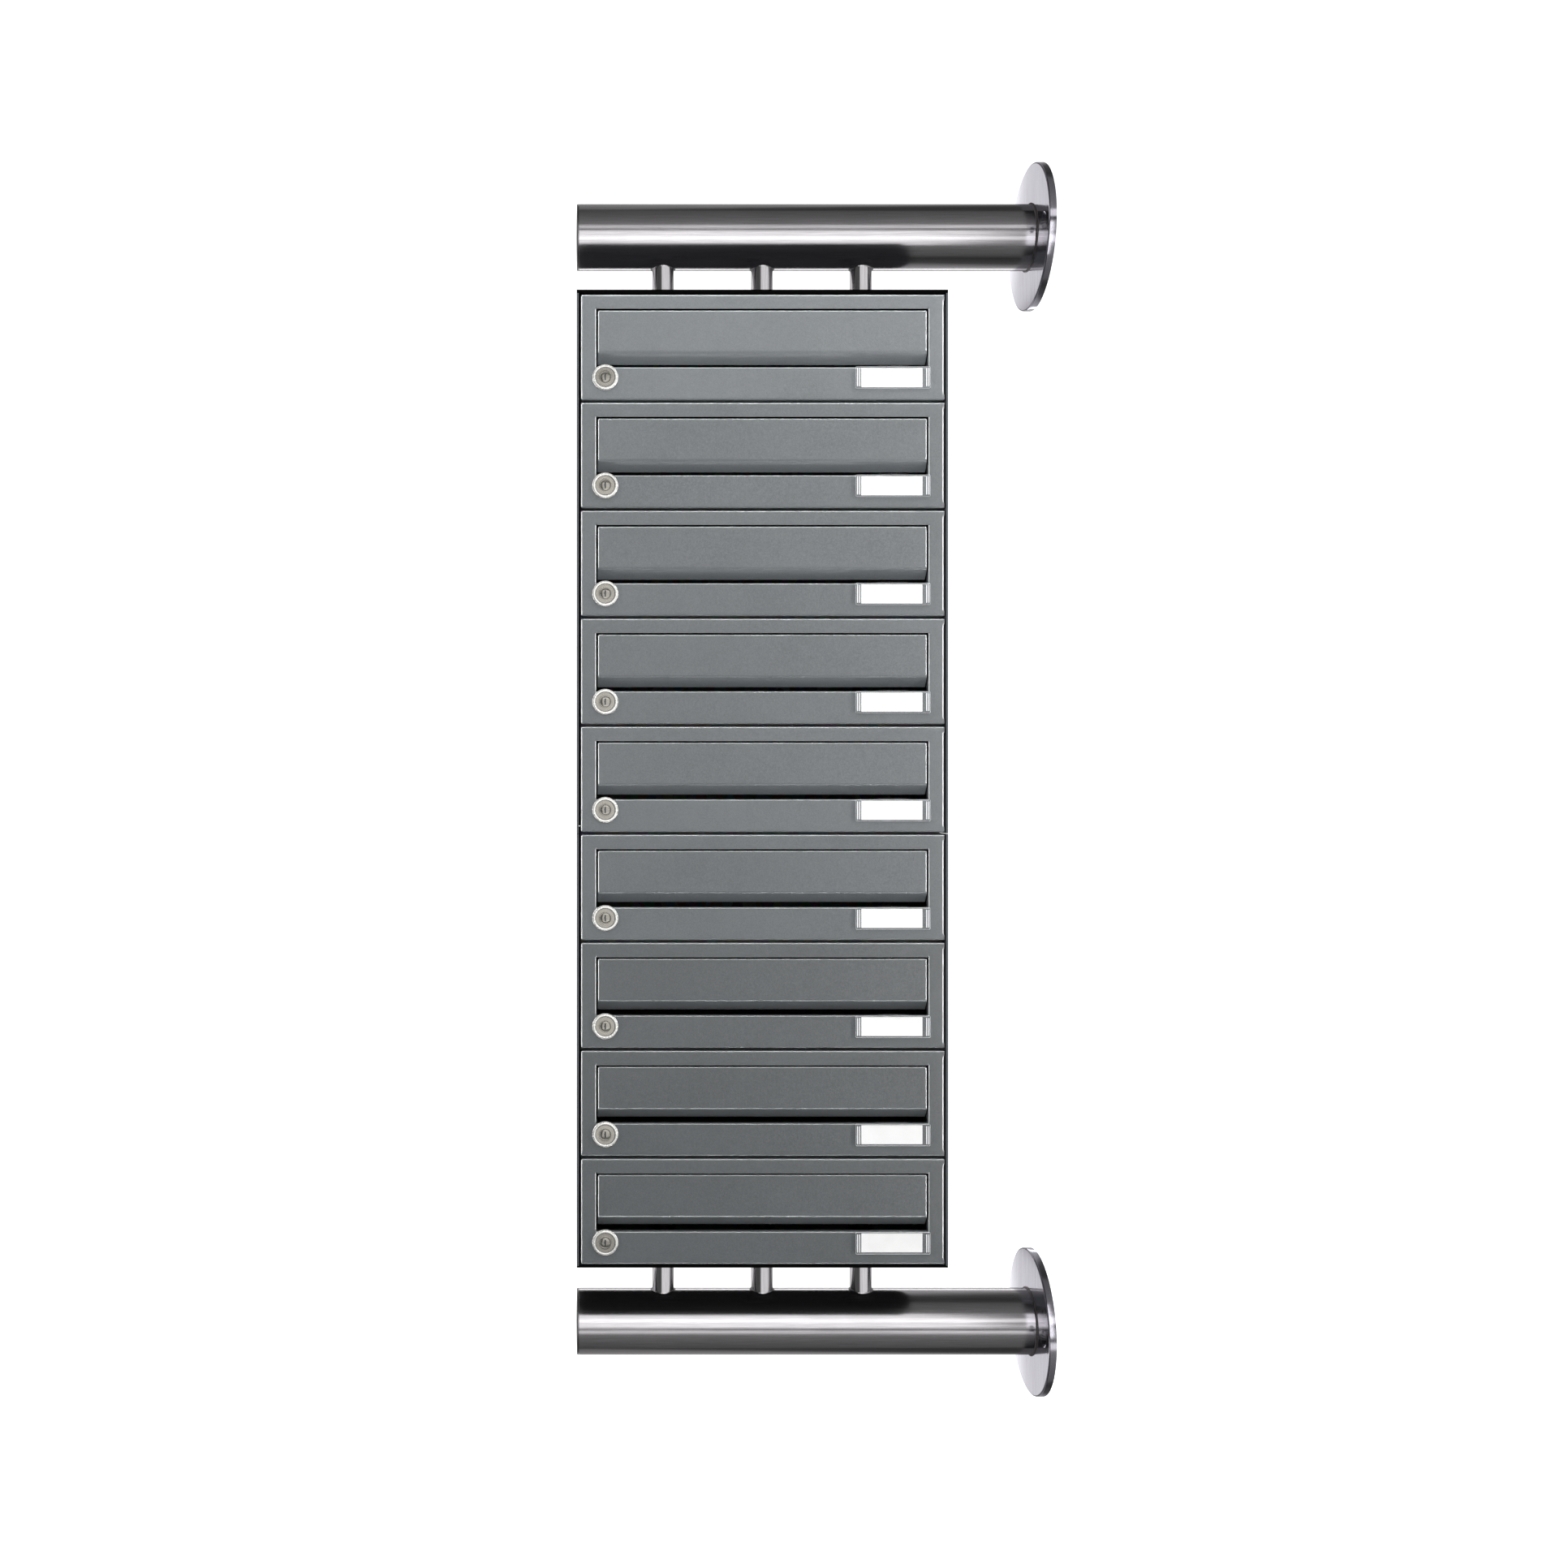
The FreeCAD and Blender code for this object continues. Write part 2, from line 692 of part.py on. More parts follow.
def make_lock_core(number):
    """A plug with a keyway, the cam on its inner end, hanging while unlocked, and the cam's screw."""
    mark = f"Core{number}"
    plug = rod_y(mark + "Plug", "plug_radius", "cam_start + plug_proud", (0, "-plug_proud", 0))
    keyway = block(
        mark + "Keyway",
        ("keyway_width", "keyway_depth", "keyway_height"),
        ("-keyway_width / 2", "-plug_proud", "-keyway_height / 2"),
    )
    arm_size = ("cam_width", "cam_thick", "cam_reach")
    cam_arm = block(mark + "Arm", arm_size, ("-cam_width / 2", "cam_start", "-cam_reach"))
    cam_eye = rod_y(mark + "CamEye", "cam_eye_radius", "cam_thick", (0, "cam_start", 0))
    cam = fuse(mark + "Cam", cam_arm, cam_eye)
    screw = rod_y(mark + "Screw", "cam_screw_radius", "cam_screw_head", (0, "cam_start + cam_thick", 0))
    made = group(f"lock_core_{number}", cut(mark + "Cut", plug, keyway), cam, screw)
    x, y, z = door_place(number)
    place(made, f"{x} + {lock_x()}", y, f"{z} + lock_up")


def make_name_plate(number):
    """A clear holder that hooks over the strip's upper edge, with a blank card behind its window."""
    mark = f"Plate{number}"
    low = "(plate_top - plate_height)"
    left = "(box_width / 2 - plate_side - plate_width / 2)"
    cover_size = ("plate_width", "plate_thick", "plate_height")
    cover = block(mark + "Cover", cover_size, (left, "-plate_thick", low))
    card_x = f"({left} + (plate_width - insert_width) / 2)"
    card_z = f"({low} + (plate_height - insert_height) / 2)"
    card_size = ("insert_width", "insert_thick", "insert_height")
    recess = block(mark + "Recess", card_size, (card_x, "-insert_thick", card_z))
    hook_x = f"({left} + (plate_width - plate_hook_width) / 2)"
    hook = block(
        mark + "Hook",
        ("plate_hook_width", "plate_thick + plate_hook_back", "plate_hook_rise"),
        (hook_x, "-plate_thick", "plate_top"),
    )
    card = block(mark + "Card", card_size, (card_x, "-insert_thick", card_z))
    holder = cut(mark + "Holder", fuse(mark + "Clip", cover, hook), recess)
    made = group(f"name_plate_{number}", holder, card)
    place(made, *door_place(number))


make_tube("upper_tube", UPPER)
make_tube("lower_tube", LOWER)
make_wall_flange("upper_wall_flange", UPPER)
make_wall_flange("lower_wall_flange", LOWER)
group("tube_end_caps", make_end_cap("UpperCap", UPPER), make_end_cap("LowerCap", LOWER))
make_hangers()
make_casing("upper_casing", UPPER)
make_casing("lower_casing", LOWER)
make_back_panels()
make_edge_trims()
group("letterbox_bodies", *[make_letterbox(number) for number in BOXES])
make_hinge_pins()
make_buffers()
for number in BOXES:
    make_door(number)
    make_flap(number)
    make_lock_housing(number)
    make_lock_core(number)
    make_name_plate(number)

doc.recompute()

for thing in doc.Objects:
    if "Invalid" in thing.State or "Error" in thing.State:
        raise RuntimeError(f"{thing.Label} did not recompute: {thing.State}")
for part in parts:
    if part.Shape.isNull() or not part.Shape.isValid():
        raise RuntimeError(f"{part.Label} has no valid shape")

os.makedirs("parts", exist_ok=True)
for part in parts:
    part.Shape.exportStep(f"parts/{part.Label}.step")
print(len(parts), "sub-parts written")
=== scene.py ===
import json
import math

import bmesh
import bpy
from mathutils import Matrix, Vector

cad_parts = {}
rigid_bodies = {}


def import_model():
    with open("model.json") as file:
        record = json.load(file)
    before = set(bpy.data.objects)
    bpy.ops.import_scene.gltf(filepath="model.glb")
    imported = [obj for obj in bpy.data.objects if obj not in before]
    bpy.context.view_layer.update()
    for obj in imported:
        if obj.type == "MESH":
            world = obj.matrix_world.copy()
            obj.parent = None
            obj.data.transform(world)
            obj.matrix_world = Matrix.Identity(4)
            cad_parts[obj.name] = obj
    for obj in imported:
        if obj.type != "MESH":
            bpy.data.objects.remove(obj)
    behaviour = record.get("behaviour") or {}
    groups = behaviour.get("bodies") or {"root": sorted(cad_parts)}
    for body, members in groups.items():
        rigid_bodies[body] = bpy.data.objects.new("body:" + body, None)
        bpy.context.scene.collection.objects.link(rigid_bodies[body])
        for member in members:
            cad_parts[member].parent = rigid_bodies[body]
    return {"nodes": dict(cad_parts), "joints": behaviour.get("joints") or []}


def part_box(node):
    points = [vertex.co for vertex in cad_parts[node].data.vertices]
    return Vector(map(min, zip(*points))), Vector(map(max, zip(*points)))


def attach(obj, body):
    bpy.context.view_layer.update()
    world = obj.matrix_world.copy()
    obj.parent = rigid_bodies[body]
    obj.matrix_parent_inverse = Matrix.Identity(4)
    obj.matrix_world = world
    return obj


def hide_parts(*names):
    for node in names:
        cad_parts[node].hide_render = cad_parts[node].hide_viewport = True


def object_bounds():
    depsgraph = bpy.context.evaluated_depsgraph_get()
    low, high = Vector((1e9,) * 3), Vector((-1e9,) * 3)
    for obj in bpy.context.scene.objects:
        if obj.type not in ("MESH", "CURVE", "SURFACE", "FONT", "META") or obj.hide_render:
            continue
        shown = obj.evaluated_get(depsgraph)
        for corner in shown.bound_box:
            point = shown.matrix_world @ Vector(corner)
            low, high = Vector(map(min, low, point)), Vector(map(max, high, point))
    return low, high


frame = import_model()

# Looks of the cluster mailbox unit. Metres, in the CAD frame: the origin is on the wall plane,
# +X points into the wall, the doors face -Y, +Z is up.

MM = 0.001
BOXES = range(1, 10)
CARRIER = "carrier"

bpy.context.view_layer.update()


# ---- places read from the frame ----

shell_low, shell_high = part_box("upper_casing")
lower_shell_low, lower_shell_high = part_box("lower_casing")
CENTRE_X = (shell_low.x + shell_high.x) / 2
FRONT_Y = shell_low.y
SHELL_SPLIT = shell_low.z
SHEET = 2 * MM
DOOR_SHEET = 1.5 * MM
ROOF_TRIM = 3.5 * MM
MERGE_DISTANCE = 1e-7


def joint_place(name):
    """Where a joint sits."""
    return next(Vector(j["pos_m"]) for j in frame["joints"] if j["name"] == name)


# ---- node materials ----


class Nodes:
    """A small helper that adds and links the nodes of one material."""

    def __init__(self, name):
        self.material = bpy.data.materials.new(name)
        self.material.use_nodes = True
        self.tree = self.material.node_tree
        self.shader = self.tree.nodes["Principled BSDF"]

    def add(self, kind, inputs=(), **settings):
        node = self.tree.nodes.new(kind)
        for key, value in settings.items():
            setattr(node, key, value)
        for key, value in dict(inputs).items():
            if isinstance(value, bpy.types.NodeSocket):
                self.tree.links.new(value, node.inputs[key])
            else:
                node.inputs[key].default_value = value
        return node

    def set(self, **constants):
        for key, value in constants.items():
            self.shader.inputs[key.replace("_", " ")].default_value = value

    def link(self, socket, name):
        self.tree.links.new(socket, self.shader.inputs[name])

    def place(self, scale=(1, 1, 1), shift=(0, 0, 0)):
        """Object coordinates, stretched and shifted."""
        at = self.add("ShaderNodeTexCoord").outputs["Object"]
        mapping = self.add("ShaderNodeMapping", {"Vector": at, "Scale": scale, "Location": shift})
        return mapping.outputs["Vector"]

    def noise(self, vector, scale, detail=2.0, roughness=0.5):
        inputs = {"Vector": vector, "Scale": scale, "Detail": detail, "Roughness": roughness}
        return self.add("ShaderNodeTexNoise", inputs).outputs["Fac"]

    def remap(self, value, low, high, to_low, to_high):
        inputs = {0: value, 1: low, 2: high, 3: to_low, 4: to_high}
        return self.add("ShaderNodeMapRange", inputs).outputs[0]

    def blend(self, factor, first, second):
        node = self.add("ShaderNodeMix", data_type="RGBA")
        for index, value in ((0, factor), (6, first), (7, second)):
            if isinstance(value, bpy.types.NodeSocket):
                self.tree.links.new(value, node.inputs[index])
            else:
                node.inputs[index].default_value = value
        return node.outputs[2]

    def maths(self, operation, first, second):
        return self.add("ShaderNodeMath", {0: first, 1: second}, operation=operation).outputs[0]

    def bump(self, height, distance, strength=1.0, after=None):
        inputs = {"Height": height, "Distance": distance, "Strength": strength}
        if after is not None:
            inputs["Normal"] = after
        return self.add("ShaderNodeBump", inputs).outputs["Normal"]

    def edges(self, radius):
        """1 on sharp edges and 0 on flat faces, from the bevelled normal against the true one."""
        soft = self.add("ShaderNodeBevel", {"Radius": radius}, samples=4).outputs["Normal"]
        true = self.add("ShaderNodeNewGeometry").outputs["Normal"]
        dot = self.add("ShaderNodeVectorMath", {0: soft, 1: true}, operation="DOT_PRODUCT").outputs["Value"]
        return self.remap(dot, 0.995, 0.85, 0.0, 1.0)


def rgba(r, g, b, a=1.0):
    return (r, g, b, a)


def powder_coat(name, colour, shift):
    """Fine-texture powder coat: a close grain in the surface, soft clouds in the colour, and edges painted
    lighter, partly as worn coat and partly as a painted highlight.
    """
    grain = 2.2e-5
    n = Nodes(name)
    at = n.place(shift=shift)
    clouds = n.noise(at, 9.0, 3.0, 0.55)
    speckle = n.noise(at, 900.0, 2.0, 0.6)
    dark = rgba(*(c * 0.93 for c in colour))
    light = rgba(*(c * 1.07 for c in colour))
    base = n.blend(n.remap(clouds, 0.3, 0.7, 0.0, 1.0), dark, light)
    fine = n.blend(n.remap(speckle, 0.35, 0.65, 0.0, 0.16), base, rgba(*(c * 1.9 for c in colour)))
    bare_coat_and_highlight = rgba(*(min(1, c * 2.4) for c in colour))
    # Painted highlight: sharp edges are mixed towards a much lighter colour, partly for worn coat and partly
    # for the highlight along the folds.
    worn_and_highlit = n.blend(n.maths("MULTIPLY", n.edges(0.5 * MM), 0.35), fine, bare_coat_and_highlight)
    n.link(worn_and_highlit, "Base Color")
    n.link(n.remap(speckle, 0.3, 0.7, 0.34, 0.46), "Roughness")
    pimples = n.bump(n.noise(at, 1300.0, 1.0, 0.5), grain * 6, 0.55)
    orange = n.bump(n.noise(at, 260.0, 2.0, 0.5), grain * 9, 0.25, pimples)
    n.link(orange, "Normal")
    n.set(IOR=1.5, Specular_IOR_Level=0.22)
    return n.material


def brushed(name, colour, along, rough=(0.22, 0.36), depth=1.2e-5, stretch=60.0, anisotropic=0.5):
    """Brushed stainless steel: long fine scratches along one axis, and a faint uneven tone."""
    n = Nodes(name)
    scale = tuple(1.0 if axis == along else stretch for axis in "XYZ")
    lines = n.place(scale=tuple(s * 26 for s in scale))
    scratches = n.noise(lines, 1.0, 4.0, 0.65)
    coarse = n.noise(n.place(scale=tuple(s * 5 for s in scale)), 1.0, 2.0, 0.5)
    tone = n.noise(n.place(), 14.0, 2.0, 0.5)
    dark = rgba(*(c * 0.8 for c in colour))
    light = rgba(*(min(1, c * 1.12) for c in colour))
    base = n.blend(n.remap(scratches, 0.3, 0.7, 0.0, 1.0), dark, light)
    toned = n.blend(n.remap(tone, 0.35, 0.65, 0.0, 0.25), base, dark)
    n.link(toned, "Base Color")
    n.link(n.remap(coarse, 0.3, 0.7, *rough), "Roughness")
    n.link(n.bump(scratches, depth, 0.6), "Normal")
    n.set(Metallic=1.0, Anisotropic=anisotropic)
    tangent = n.add("ShaderNodeTangent", direction_type="RADIAL", axis=along)
    n.link(tangent.outputs["Tangent"], "Tangent")
    return n.material


def plated(name, colour, rough=(0.12, 0.24), metallic=1.0):
    """Satin plated metal with tiny pits and handling marks."""
    n = Nodes(name)
    at = n.place()
    marks = n.noise(at, 420.0, 3.0, 0.6)
    smears = n.noise(at, 60.0, 3.0, 0.6)
    dull = rgba(*(c * 0.72 for c in colour))
    n.link(n.blend(n.remap(smears, 0.35, 0.7, 0.0, 0.4), rgba(*colour), dull), "Base Color")
    n.link(n.remap(marks, 0.3, 0.7, *rough), "Roughness")
    n.link(n.bump(marks, 3e-6, 0.3), "Normal")
    n.set(Metallic=metallic)
    return n.material


def galvanised(name, colour):
    """Thin-coated sheet inside the boxes, with rolled streaks and a soft spangle."""
    n = Nodes(name)
    at = n.place()
    spangle = n.add("ShaderNodeTexVoronoi", {"Vector": at, "Scale": 90.0}).outputs["Color"]
    streaks = n.noise(n.place(scale=(6, 90, 90)), 1.0, 3.0, 0.6)
    base = n.blend(n.remap(streaks, 0.3, 0.7, 0.0, 1.0), rgba(*(c * 0.8 for c in colour)), rgba(*colour))
    n.link(n.blend(0.06, base, spangle), "Base Color")
    n.link(n.remap(streaks, 0.3, 0.7, 0.38, 0.55), "Roughness")
    n.link(n.bump(streaks, 2e-5, 0.3), "Normal")
    n.set(Metallic=0.35)
    return n.material


def black_polymer(name, colour, rough, grain_scale, specular=0.3):
    """Rubber, plastic or coated sheet in black, with a fine grain."""
    n = Nodes(name)
    at = n.place()
    grain = n.noise(at, grain_scale, 3.0, 0.6)
    light = rgba(*(c * 1.6 for c in colour))
    n.link(n.blend(n.remap(grain, 0.35, 0.65, 0.0, 1.0), rgba(*colour), light), "Base Color")
    n.link(n.remap(grain, 0.3, 0.7, rough, rough + 0.15), "Roughness")
    n.link(n.bump(grain, 3e-5, 0.4), "Normal")
    n.set(Specular_IOR_Level=specular)
    return n.material


def clear_plastic(name, face_alpha, highlit_edge_alpha):
    """Thin clear plastic: mostly see-through, with a faint haze, and moulded edges made less see-through so
    that they show whiter as a painted highlight.
    """
    n = Nodes(name)
    at = n.place()
    haze = n.noise(at, 180.0, 3.0, 0.6)
    n.link(n.blend(haze, rgba(0.9, 0.92, 0.95), rgba(0.99, 0.99, 1.0)), "Base Color")
    n.link(n.remap(haze, 0.3, 0.7, 0.04, 0.12), "Roughness")
    n.link(n.bump(haze, 1.5e-5, 0.3), "Normal")
    # Painted highlight: faces that turn away from the front are made less see-through, so the edges show as
    # white lines.
    facing = n.add("ShaderNodeTexCoord").outputs["Normal"]
    outward = n.add("ShaderNodeSeparateXYZ", {0: facing}).outputs["Y"]
    n.link(n.remap(n.maths("ABSOLUTE", outward, 0.0), 0.55, 0.95, highlit_edge_alpha, face_alpha), "Alpha")
    n.set(IOR=1.46)
    return n.material


def card_paper(name):
    """Blank white card with faint fibres and patches."""
    n = Nodes(name)
    fibres = n.noise(n.place(scale=(1, 1, 3)), 900.0, 4.0, 0.7)
    patches = n.remap(n.noise(n.place(), 60.0, 2.0, 0.5), 0.3, 0.7, 0.0, 1.0)
    n.link(n.blend(patches, rgba(0.93, 0.93, 0.92), rgba(0.98, 0.98, 0.97)), "Base Color")
    n.link(n.remap(fibres, 0.3, 0.7, 0.6, 0.8), "Roughness")
    n.link(n.bump(fibres, 2e-5, 0.4), "Normal")
    return n.material


DOOR_GREY = (0.09, 0.1, 0.106)
# Painted light: each door's and flap's paint is made lighter or darker, the top door lightest and the lowest
# doors darkest, in place of light that falls off downwards.
DOOR_PAINTED_LIGHT = {1: 1.22, 2: 1.0, 3: 1.0, 4: 1.0, 5: 1.05, 6: 0.98, 7: 0.74, 8: 0.7, 9: 0.72}
DOOR_PAINTED_LIT_COLOUR = {n: tuple(c * DOOR_PAINTED_LIGHT[n] for c in DOOR_GREY) for n in BOXES}
PAINT = {n: powder_coat(f"door_paint_{n}", DOOR_PAINTED_LIT_COLOUR[n], shift=(0, 0, 1.7 * n)) for n in BOXES}
FLAP_PAINT = {n: powder_coat(f"flap_paint_{n}", DOOR_PAINTED_LIT_COLOUR[n], shift=(3, 0, 2.3 * n)) for n in BOXES}
CLADDING = powder_coat("cladding_paint", DOOR_GREY, shift=(5, 5, 5))
UPPER_STEEL = brushed("upper_tube_steel", (0.7, 0.68, 0.7), "X", (0.15, 0.22), 3e-6, 70.0, 0.1)
LOWER_STEEL = brushed("lower_tube_steel", (0.7, 0.68, 0.7), "X", (0.15, 0.22), 3e-6, 70.0, 0.1)
# The wall plate's steel is tinted lilac: a painted reflection of the lilac-grey surroundings it faces.
FLANGE_STEEL = brushed("flange_steel", (0.8, 0.775, 0.86), "Z", (0.1, 0.17), 1e-6, 60.0, 0.0)
SLEEVE_STEEL = brushed("sleeve_steel", (0.7, 0.68, 0.7), "Z", (0.08, 0.15), 3e-6, 60.0, 0.2)
CAP_STEEL = brushed("cap_steel", (0.5, 0.49, 0.5), "Z", rough=(0.28, 0.4))
WELD_STEEL = plated("weld_steel", (0.36, 0.33, 0.33), rough=(0.25, 0.45))
CHROME = plated("lock_chrome", (0.95, 0.94, 0.9), (0.22, 0.3), 0.6)
NICKEL = plated("plug_nickel", (0.36, 0.345, 0.31), (0.16, 0.24), 0.85)
ZINC = plated("zinc_hardware", (0.62, 0.62, 0.58), rough=(0.22, 0.4))
DARK_STEEL = plated("dark_steel_rod", (0.035, 0.035, 0.035), rough=(0.35, 0.5))
# Painted shade: the sheet inside the boxes is made nearly black, for the dark inside of the boxes.
SHADED_BOX_SHEET = galvanised("box_sheet", (0.04, 0.042, 0.044))
RUBBER = black_polymer("black_rubber", (0.015, 0.015, 0.015), 0.65, 700.0)
# The trim is near-black: black trim, with painted shade for the dark joints at the roof's and the floor's
# front edges.
TRIM = black_polymer("black_trim", (0.001, 0.001, 0.001), 0.7, 500.0, 0.05)
BLACK_SHEET = black_polymer("black_sheet", (0.03, 0.03, 0.033), 0.7, 500.0, 0.1)
CLEAR = clear_plastic("clear_holder", 0.05, 0.8)
CLEAR_RIB = clear_plastic("clear_rib", 0.95, 0.95)
CLEAR_THIN = clear_plastic("clear_hook", 0.03, 0.06)
CARD = card_paper("blank_card")


# ---- mesh helpers ----


def piece(name, mesh, material, body):
    """Makes an object of a mesh, gives it its material and finish, and lets it ride on a CAD body."""
    made = bpy.data.objects.new(name, mesh)
    bpy.context.scene.collection.objects.link(made)
    made.data.materials.append(material)
    made.data.shade_smooth()
    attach(made, body)
    return made


def finished(bm, name):
    """Closes a bmesh into a mesh."""
    bmesh.ops.remove_doubles(bm, verts=bm.verts, dist=MERGE_DISTANCE)
    mesh = bpy.data.meshes.new(name)
    bm.to_mesh(mesh)
    bm.free()
    return mesh


def bevelled(made, width, segments=3, by_weight=False):
    """Rounds a piece's edges with its flat faces kept flat in shading."""
    modifier = made.modifiers.new("Rounding", "BEVEL")
    modifier.width = width
    modifier.segments = segments
    modifier.limit_method = "WEIGHT" if by_weight else "ANGLE"
    modifier.angle_limit = math.radians(35)
    modifier.harden_normals = True
    modifier.miter_outer = "MITER_ARC"


def sheet_metal(made, thickness, fold, rim):
    """Turns an open folded surface into sheet: rounded folds, then thickness, then softened rims."""
    bevelled(made, fold, 4, by_weight=True)
    solid = made.modifiers.new("Thickness", "SOLIDIFY")
    solid.thickness = thickness
    solid.offset = -1
    solid.use_even_offset = True
    bevelled(made, rim, 2)
    made.modifiers.new("FlatFaces", "WEIGHTED_NORMAL").weight = 100


def mark_folds(bm, weight_of):
    """Sets the weight of each edge where two faces meet at an angle."""
    layer = bm.edges.layers.float.new("bevel_weight_edge")
    for edge in bm.edges:
        if len(edge.link_faces) == 2 and edge.calc_face_angle(0) > math.radians(20):
            edge[layer] = weight_of(edge)


def lathe(name, profile, centre, axis, segments=96):
    """A surface turned about an axis through centre, from points of (radius, distance along it)."""
    bm = bmesh.new()
    turned = Vector((0, 0, 1)).rotation_difference(Vector(axis)).to_matrix()
    rings = []
    for radius, along in profile:
        if radius < 1e-9:
            rings.append([bm.verts.new(turned @ Vector((0, 0, along)) + centre)])
            continue
        ring = []
        for i in range(segments):
            angle = 2 * math.pi * i / segments
            spot = Vector((radius * math.cos(angle), radius * math.sin(angle), along))
            ring.append(bm.verts.new(turned @ spot + centre))
        rings.append(ring)
    for first, second in zip(rings, rings[1:]):
        for i in range(segments):
            j = (i + 1) % segments
            corners = [first[i % len(first)], first[j % len(first)]]
            corners += [second[j % len(second)], second[i % len(second)]]
            unique = list(dict.fromkeys(corners))
            if len(unique) > 2:
                bm.faces.new(unique)
    bmesh.ops.recalc_face_normals(bm, faces=bm.faces)
    mesh = bpy.data.meshes.new(name)
    bm.to_mesh(mesh)
    bm.free()
    return mesh


def arc(centre, radius, start, end, steps):
    """Points of an arc in a profile, angles in degrees."""
    points = []
    for i in range(steps + 1):
        a = math.radians(start + (end - start) * i / steps)
        points.append((centre[0] + radius * math.cos(a), centre[1] + radius * math.sin(a)))
    return points


def rounded_slab(name, low, high, radius, axis, corner_steps=6):
    """A slab with rounded corners in the plane across axis."""
    bm = bmesh.new()
    a, b = [i for i in range(3) if i != axis]
    half = ((high[a] - low[a]) / 2, (high[b] - low[b]) / 2)
    mid = ((high[a] + low[a]) / 2, (high[b] + low[b]) / 2)
    ring = []
    for quarter in range(4):
        sign = ((1, 1), (-1, 1), (-1, -1), (1, -1))[quarter]
        for i in range(corner_steps + 1):
            t = math.radians(90 * quarter + 90 * i / corner_steps)
            u = mid[0] + sign[0] * (half[0] - radius) + radius * math.cos(t)
            v = mid[1] + sign[1] * (half[1] - radius) + radius * math.sin(t)
            ring.append((u, v))
    ends = []
    for level in (low[axis], high[axis]):
        verts = []
        for u, v in ring:
            spot = [0, 0, 0]
            spot[a], spot[b], spot[axis] = u, v, level
            verts.append(bm.verts.new(spot))
        ends.append(verts)
    bm.faces.new(ends[0])
    bm.faces.new(list(reversed(ends[1])))
    count = len(ring)
    for i in range(count):
        j = (i + 1) % count
        bm.faces.new([ends[0][j], ends[0][i], ends[1][i], ends[1][j]])
    bmesh.ops.recalc_face_normals(bm, faces=bm.faces)
    return finished(bm, name)


def face_out(bm, corners, outward):
    """A flat face whose normal points outward."""
    made = bm.faces.new([bm.verts.new(c) for c in corners])
    made.normal_update()
    if made.normal.dot(Vector(outward)) < 0:
        made.normal_flip()


def slab_yz(bm, x, y0, y1, z0, z1, outward):
    """A flat face at one X."""
    face_out(bm, [(x, y0, z0), (x, y1, z0), (x, y1, z1), (x, y0, z1)], outward)


def slab_xy(bm, z, x0, x1, y0, y1, outward):
    """A flat face at one Z."""
    face_out(bm, [(x0, y0, z), (x1, y0, z), (x1, y1, z), (x0, y1, z)], outward)


def slab_xz(bm, y, x0, x1, z0, z1, outward):
    """A flat face at one Y."""
    face_out(bm, [(x0, y, z0), (x1, y, z0), (x1, y, z1), (x0, y, z1)], outward)


def carved(mesh, *cutters):
    """A mesh with others cut out of it."""
    body = bpy.data.objects.new("carving", mesh)
    bpy.context.scene.collection.objects.link(body)
    tools = []
    for cutter in cutters:
        tool = bpy.data.objects.new("cutter", cutter)
        bpy.context.scene.collection.objects.link(tool)
        tools.append(tool)
        modifier = body.modifiers.new("Cut", "BOOLEAN")
        modifier.operation = "DIFFERENCE"
        modifier.solver = "EXACT"
        modifier.object = tool
    graph = bpy.context.evaluated_depsgraph_get()
    made = bpy.data.meshes.new_from_object(body.evaluated_get(graph))
    made.name = mesh.name
    for thing in [body, *tools]:
        bpy.data.objects.remove(thing)
    return made


def moved(mesh, offset):
    """A copy of a mesh, carried by an offset."""
    copy = mesh.copy()
    copy.transform(Matrix.Translation(offset))
    return copy


# ---- sizes that the boxes share, as on the CAD's sheet ----

SLOT_HALF = 169 * MM
SLOT_LOW = 33.4 * MM
SLOT_HIGH = 92.7 * MM
CHEEK_DEPTH = 9 * MM
HEM_DEPTH = 6 * MM
PIVOT_NOTCH = 6.5 * MM
FLAP_GAP = 1.5 * MM
FLAP_BEND = 48.8 * MM
LIP_LOW = 38.3 * MM
LIP_BACK = 11 * MM
EYE_RADIUS = 3 * MM
ROD_RADIUS = 1.5 * MM
ROD_REACH = 171.5 * MM
PLUG_RADIUS = 6 * MM
BARREL_RADIUS = 8 * MM
BARREL_LENGTH = 17.5 * MM
ROSETTE_RADIUS = 13.2 * MM
ROSETTE_PROUD = 2.6 * MM
NUT_FLATS = 18 * MM
CAM_START = 18 * MM
TUBE_RADIUS = 35 * MM
TUBE_WALL = 2 * MM
FLANGE_THICK = 8 * MM
WELD_LEG = 1.8 * MM


# ---- doors and flaps ----


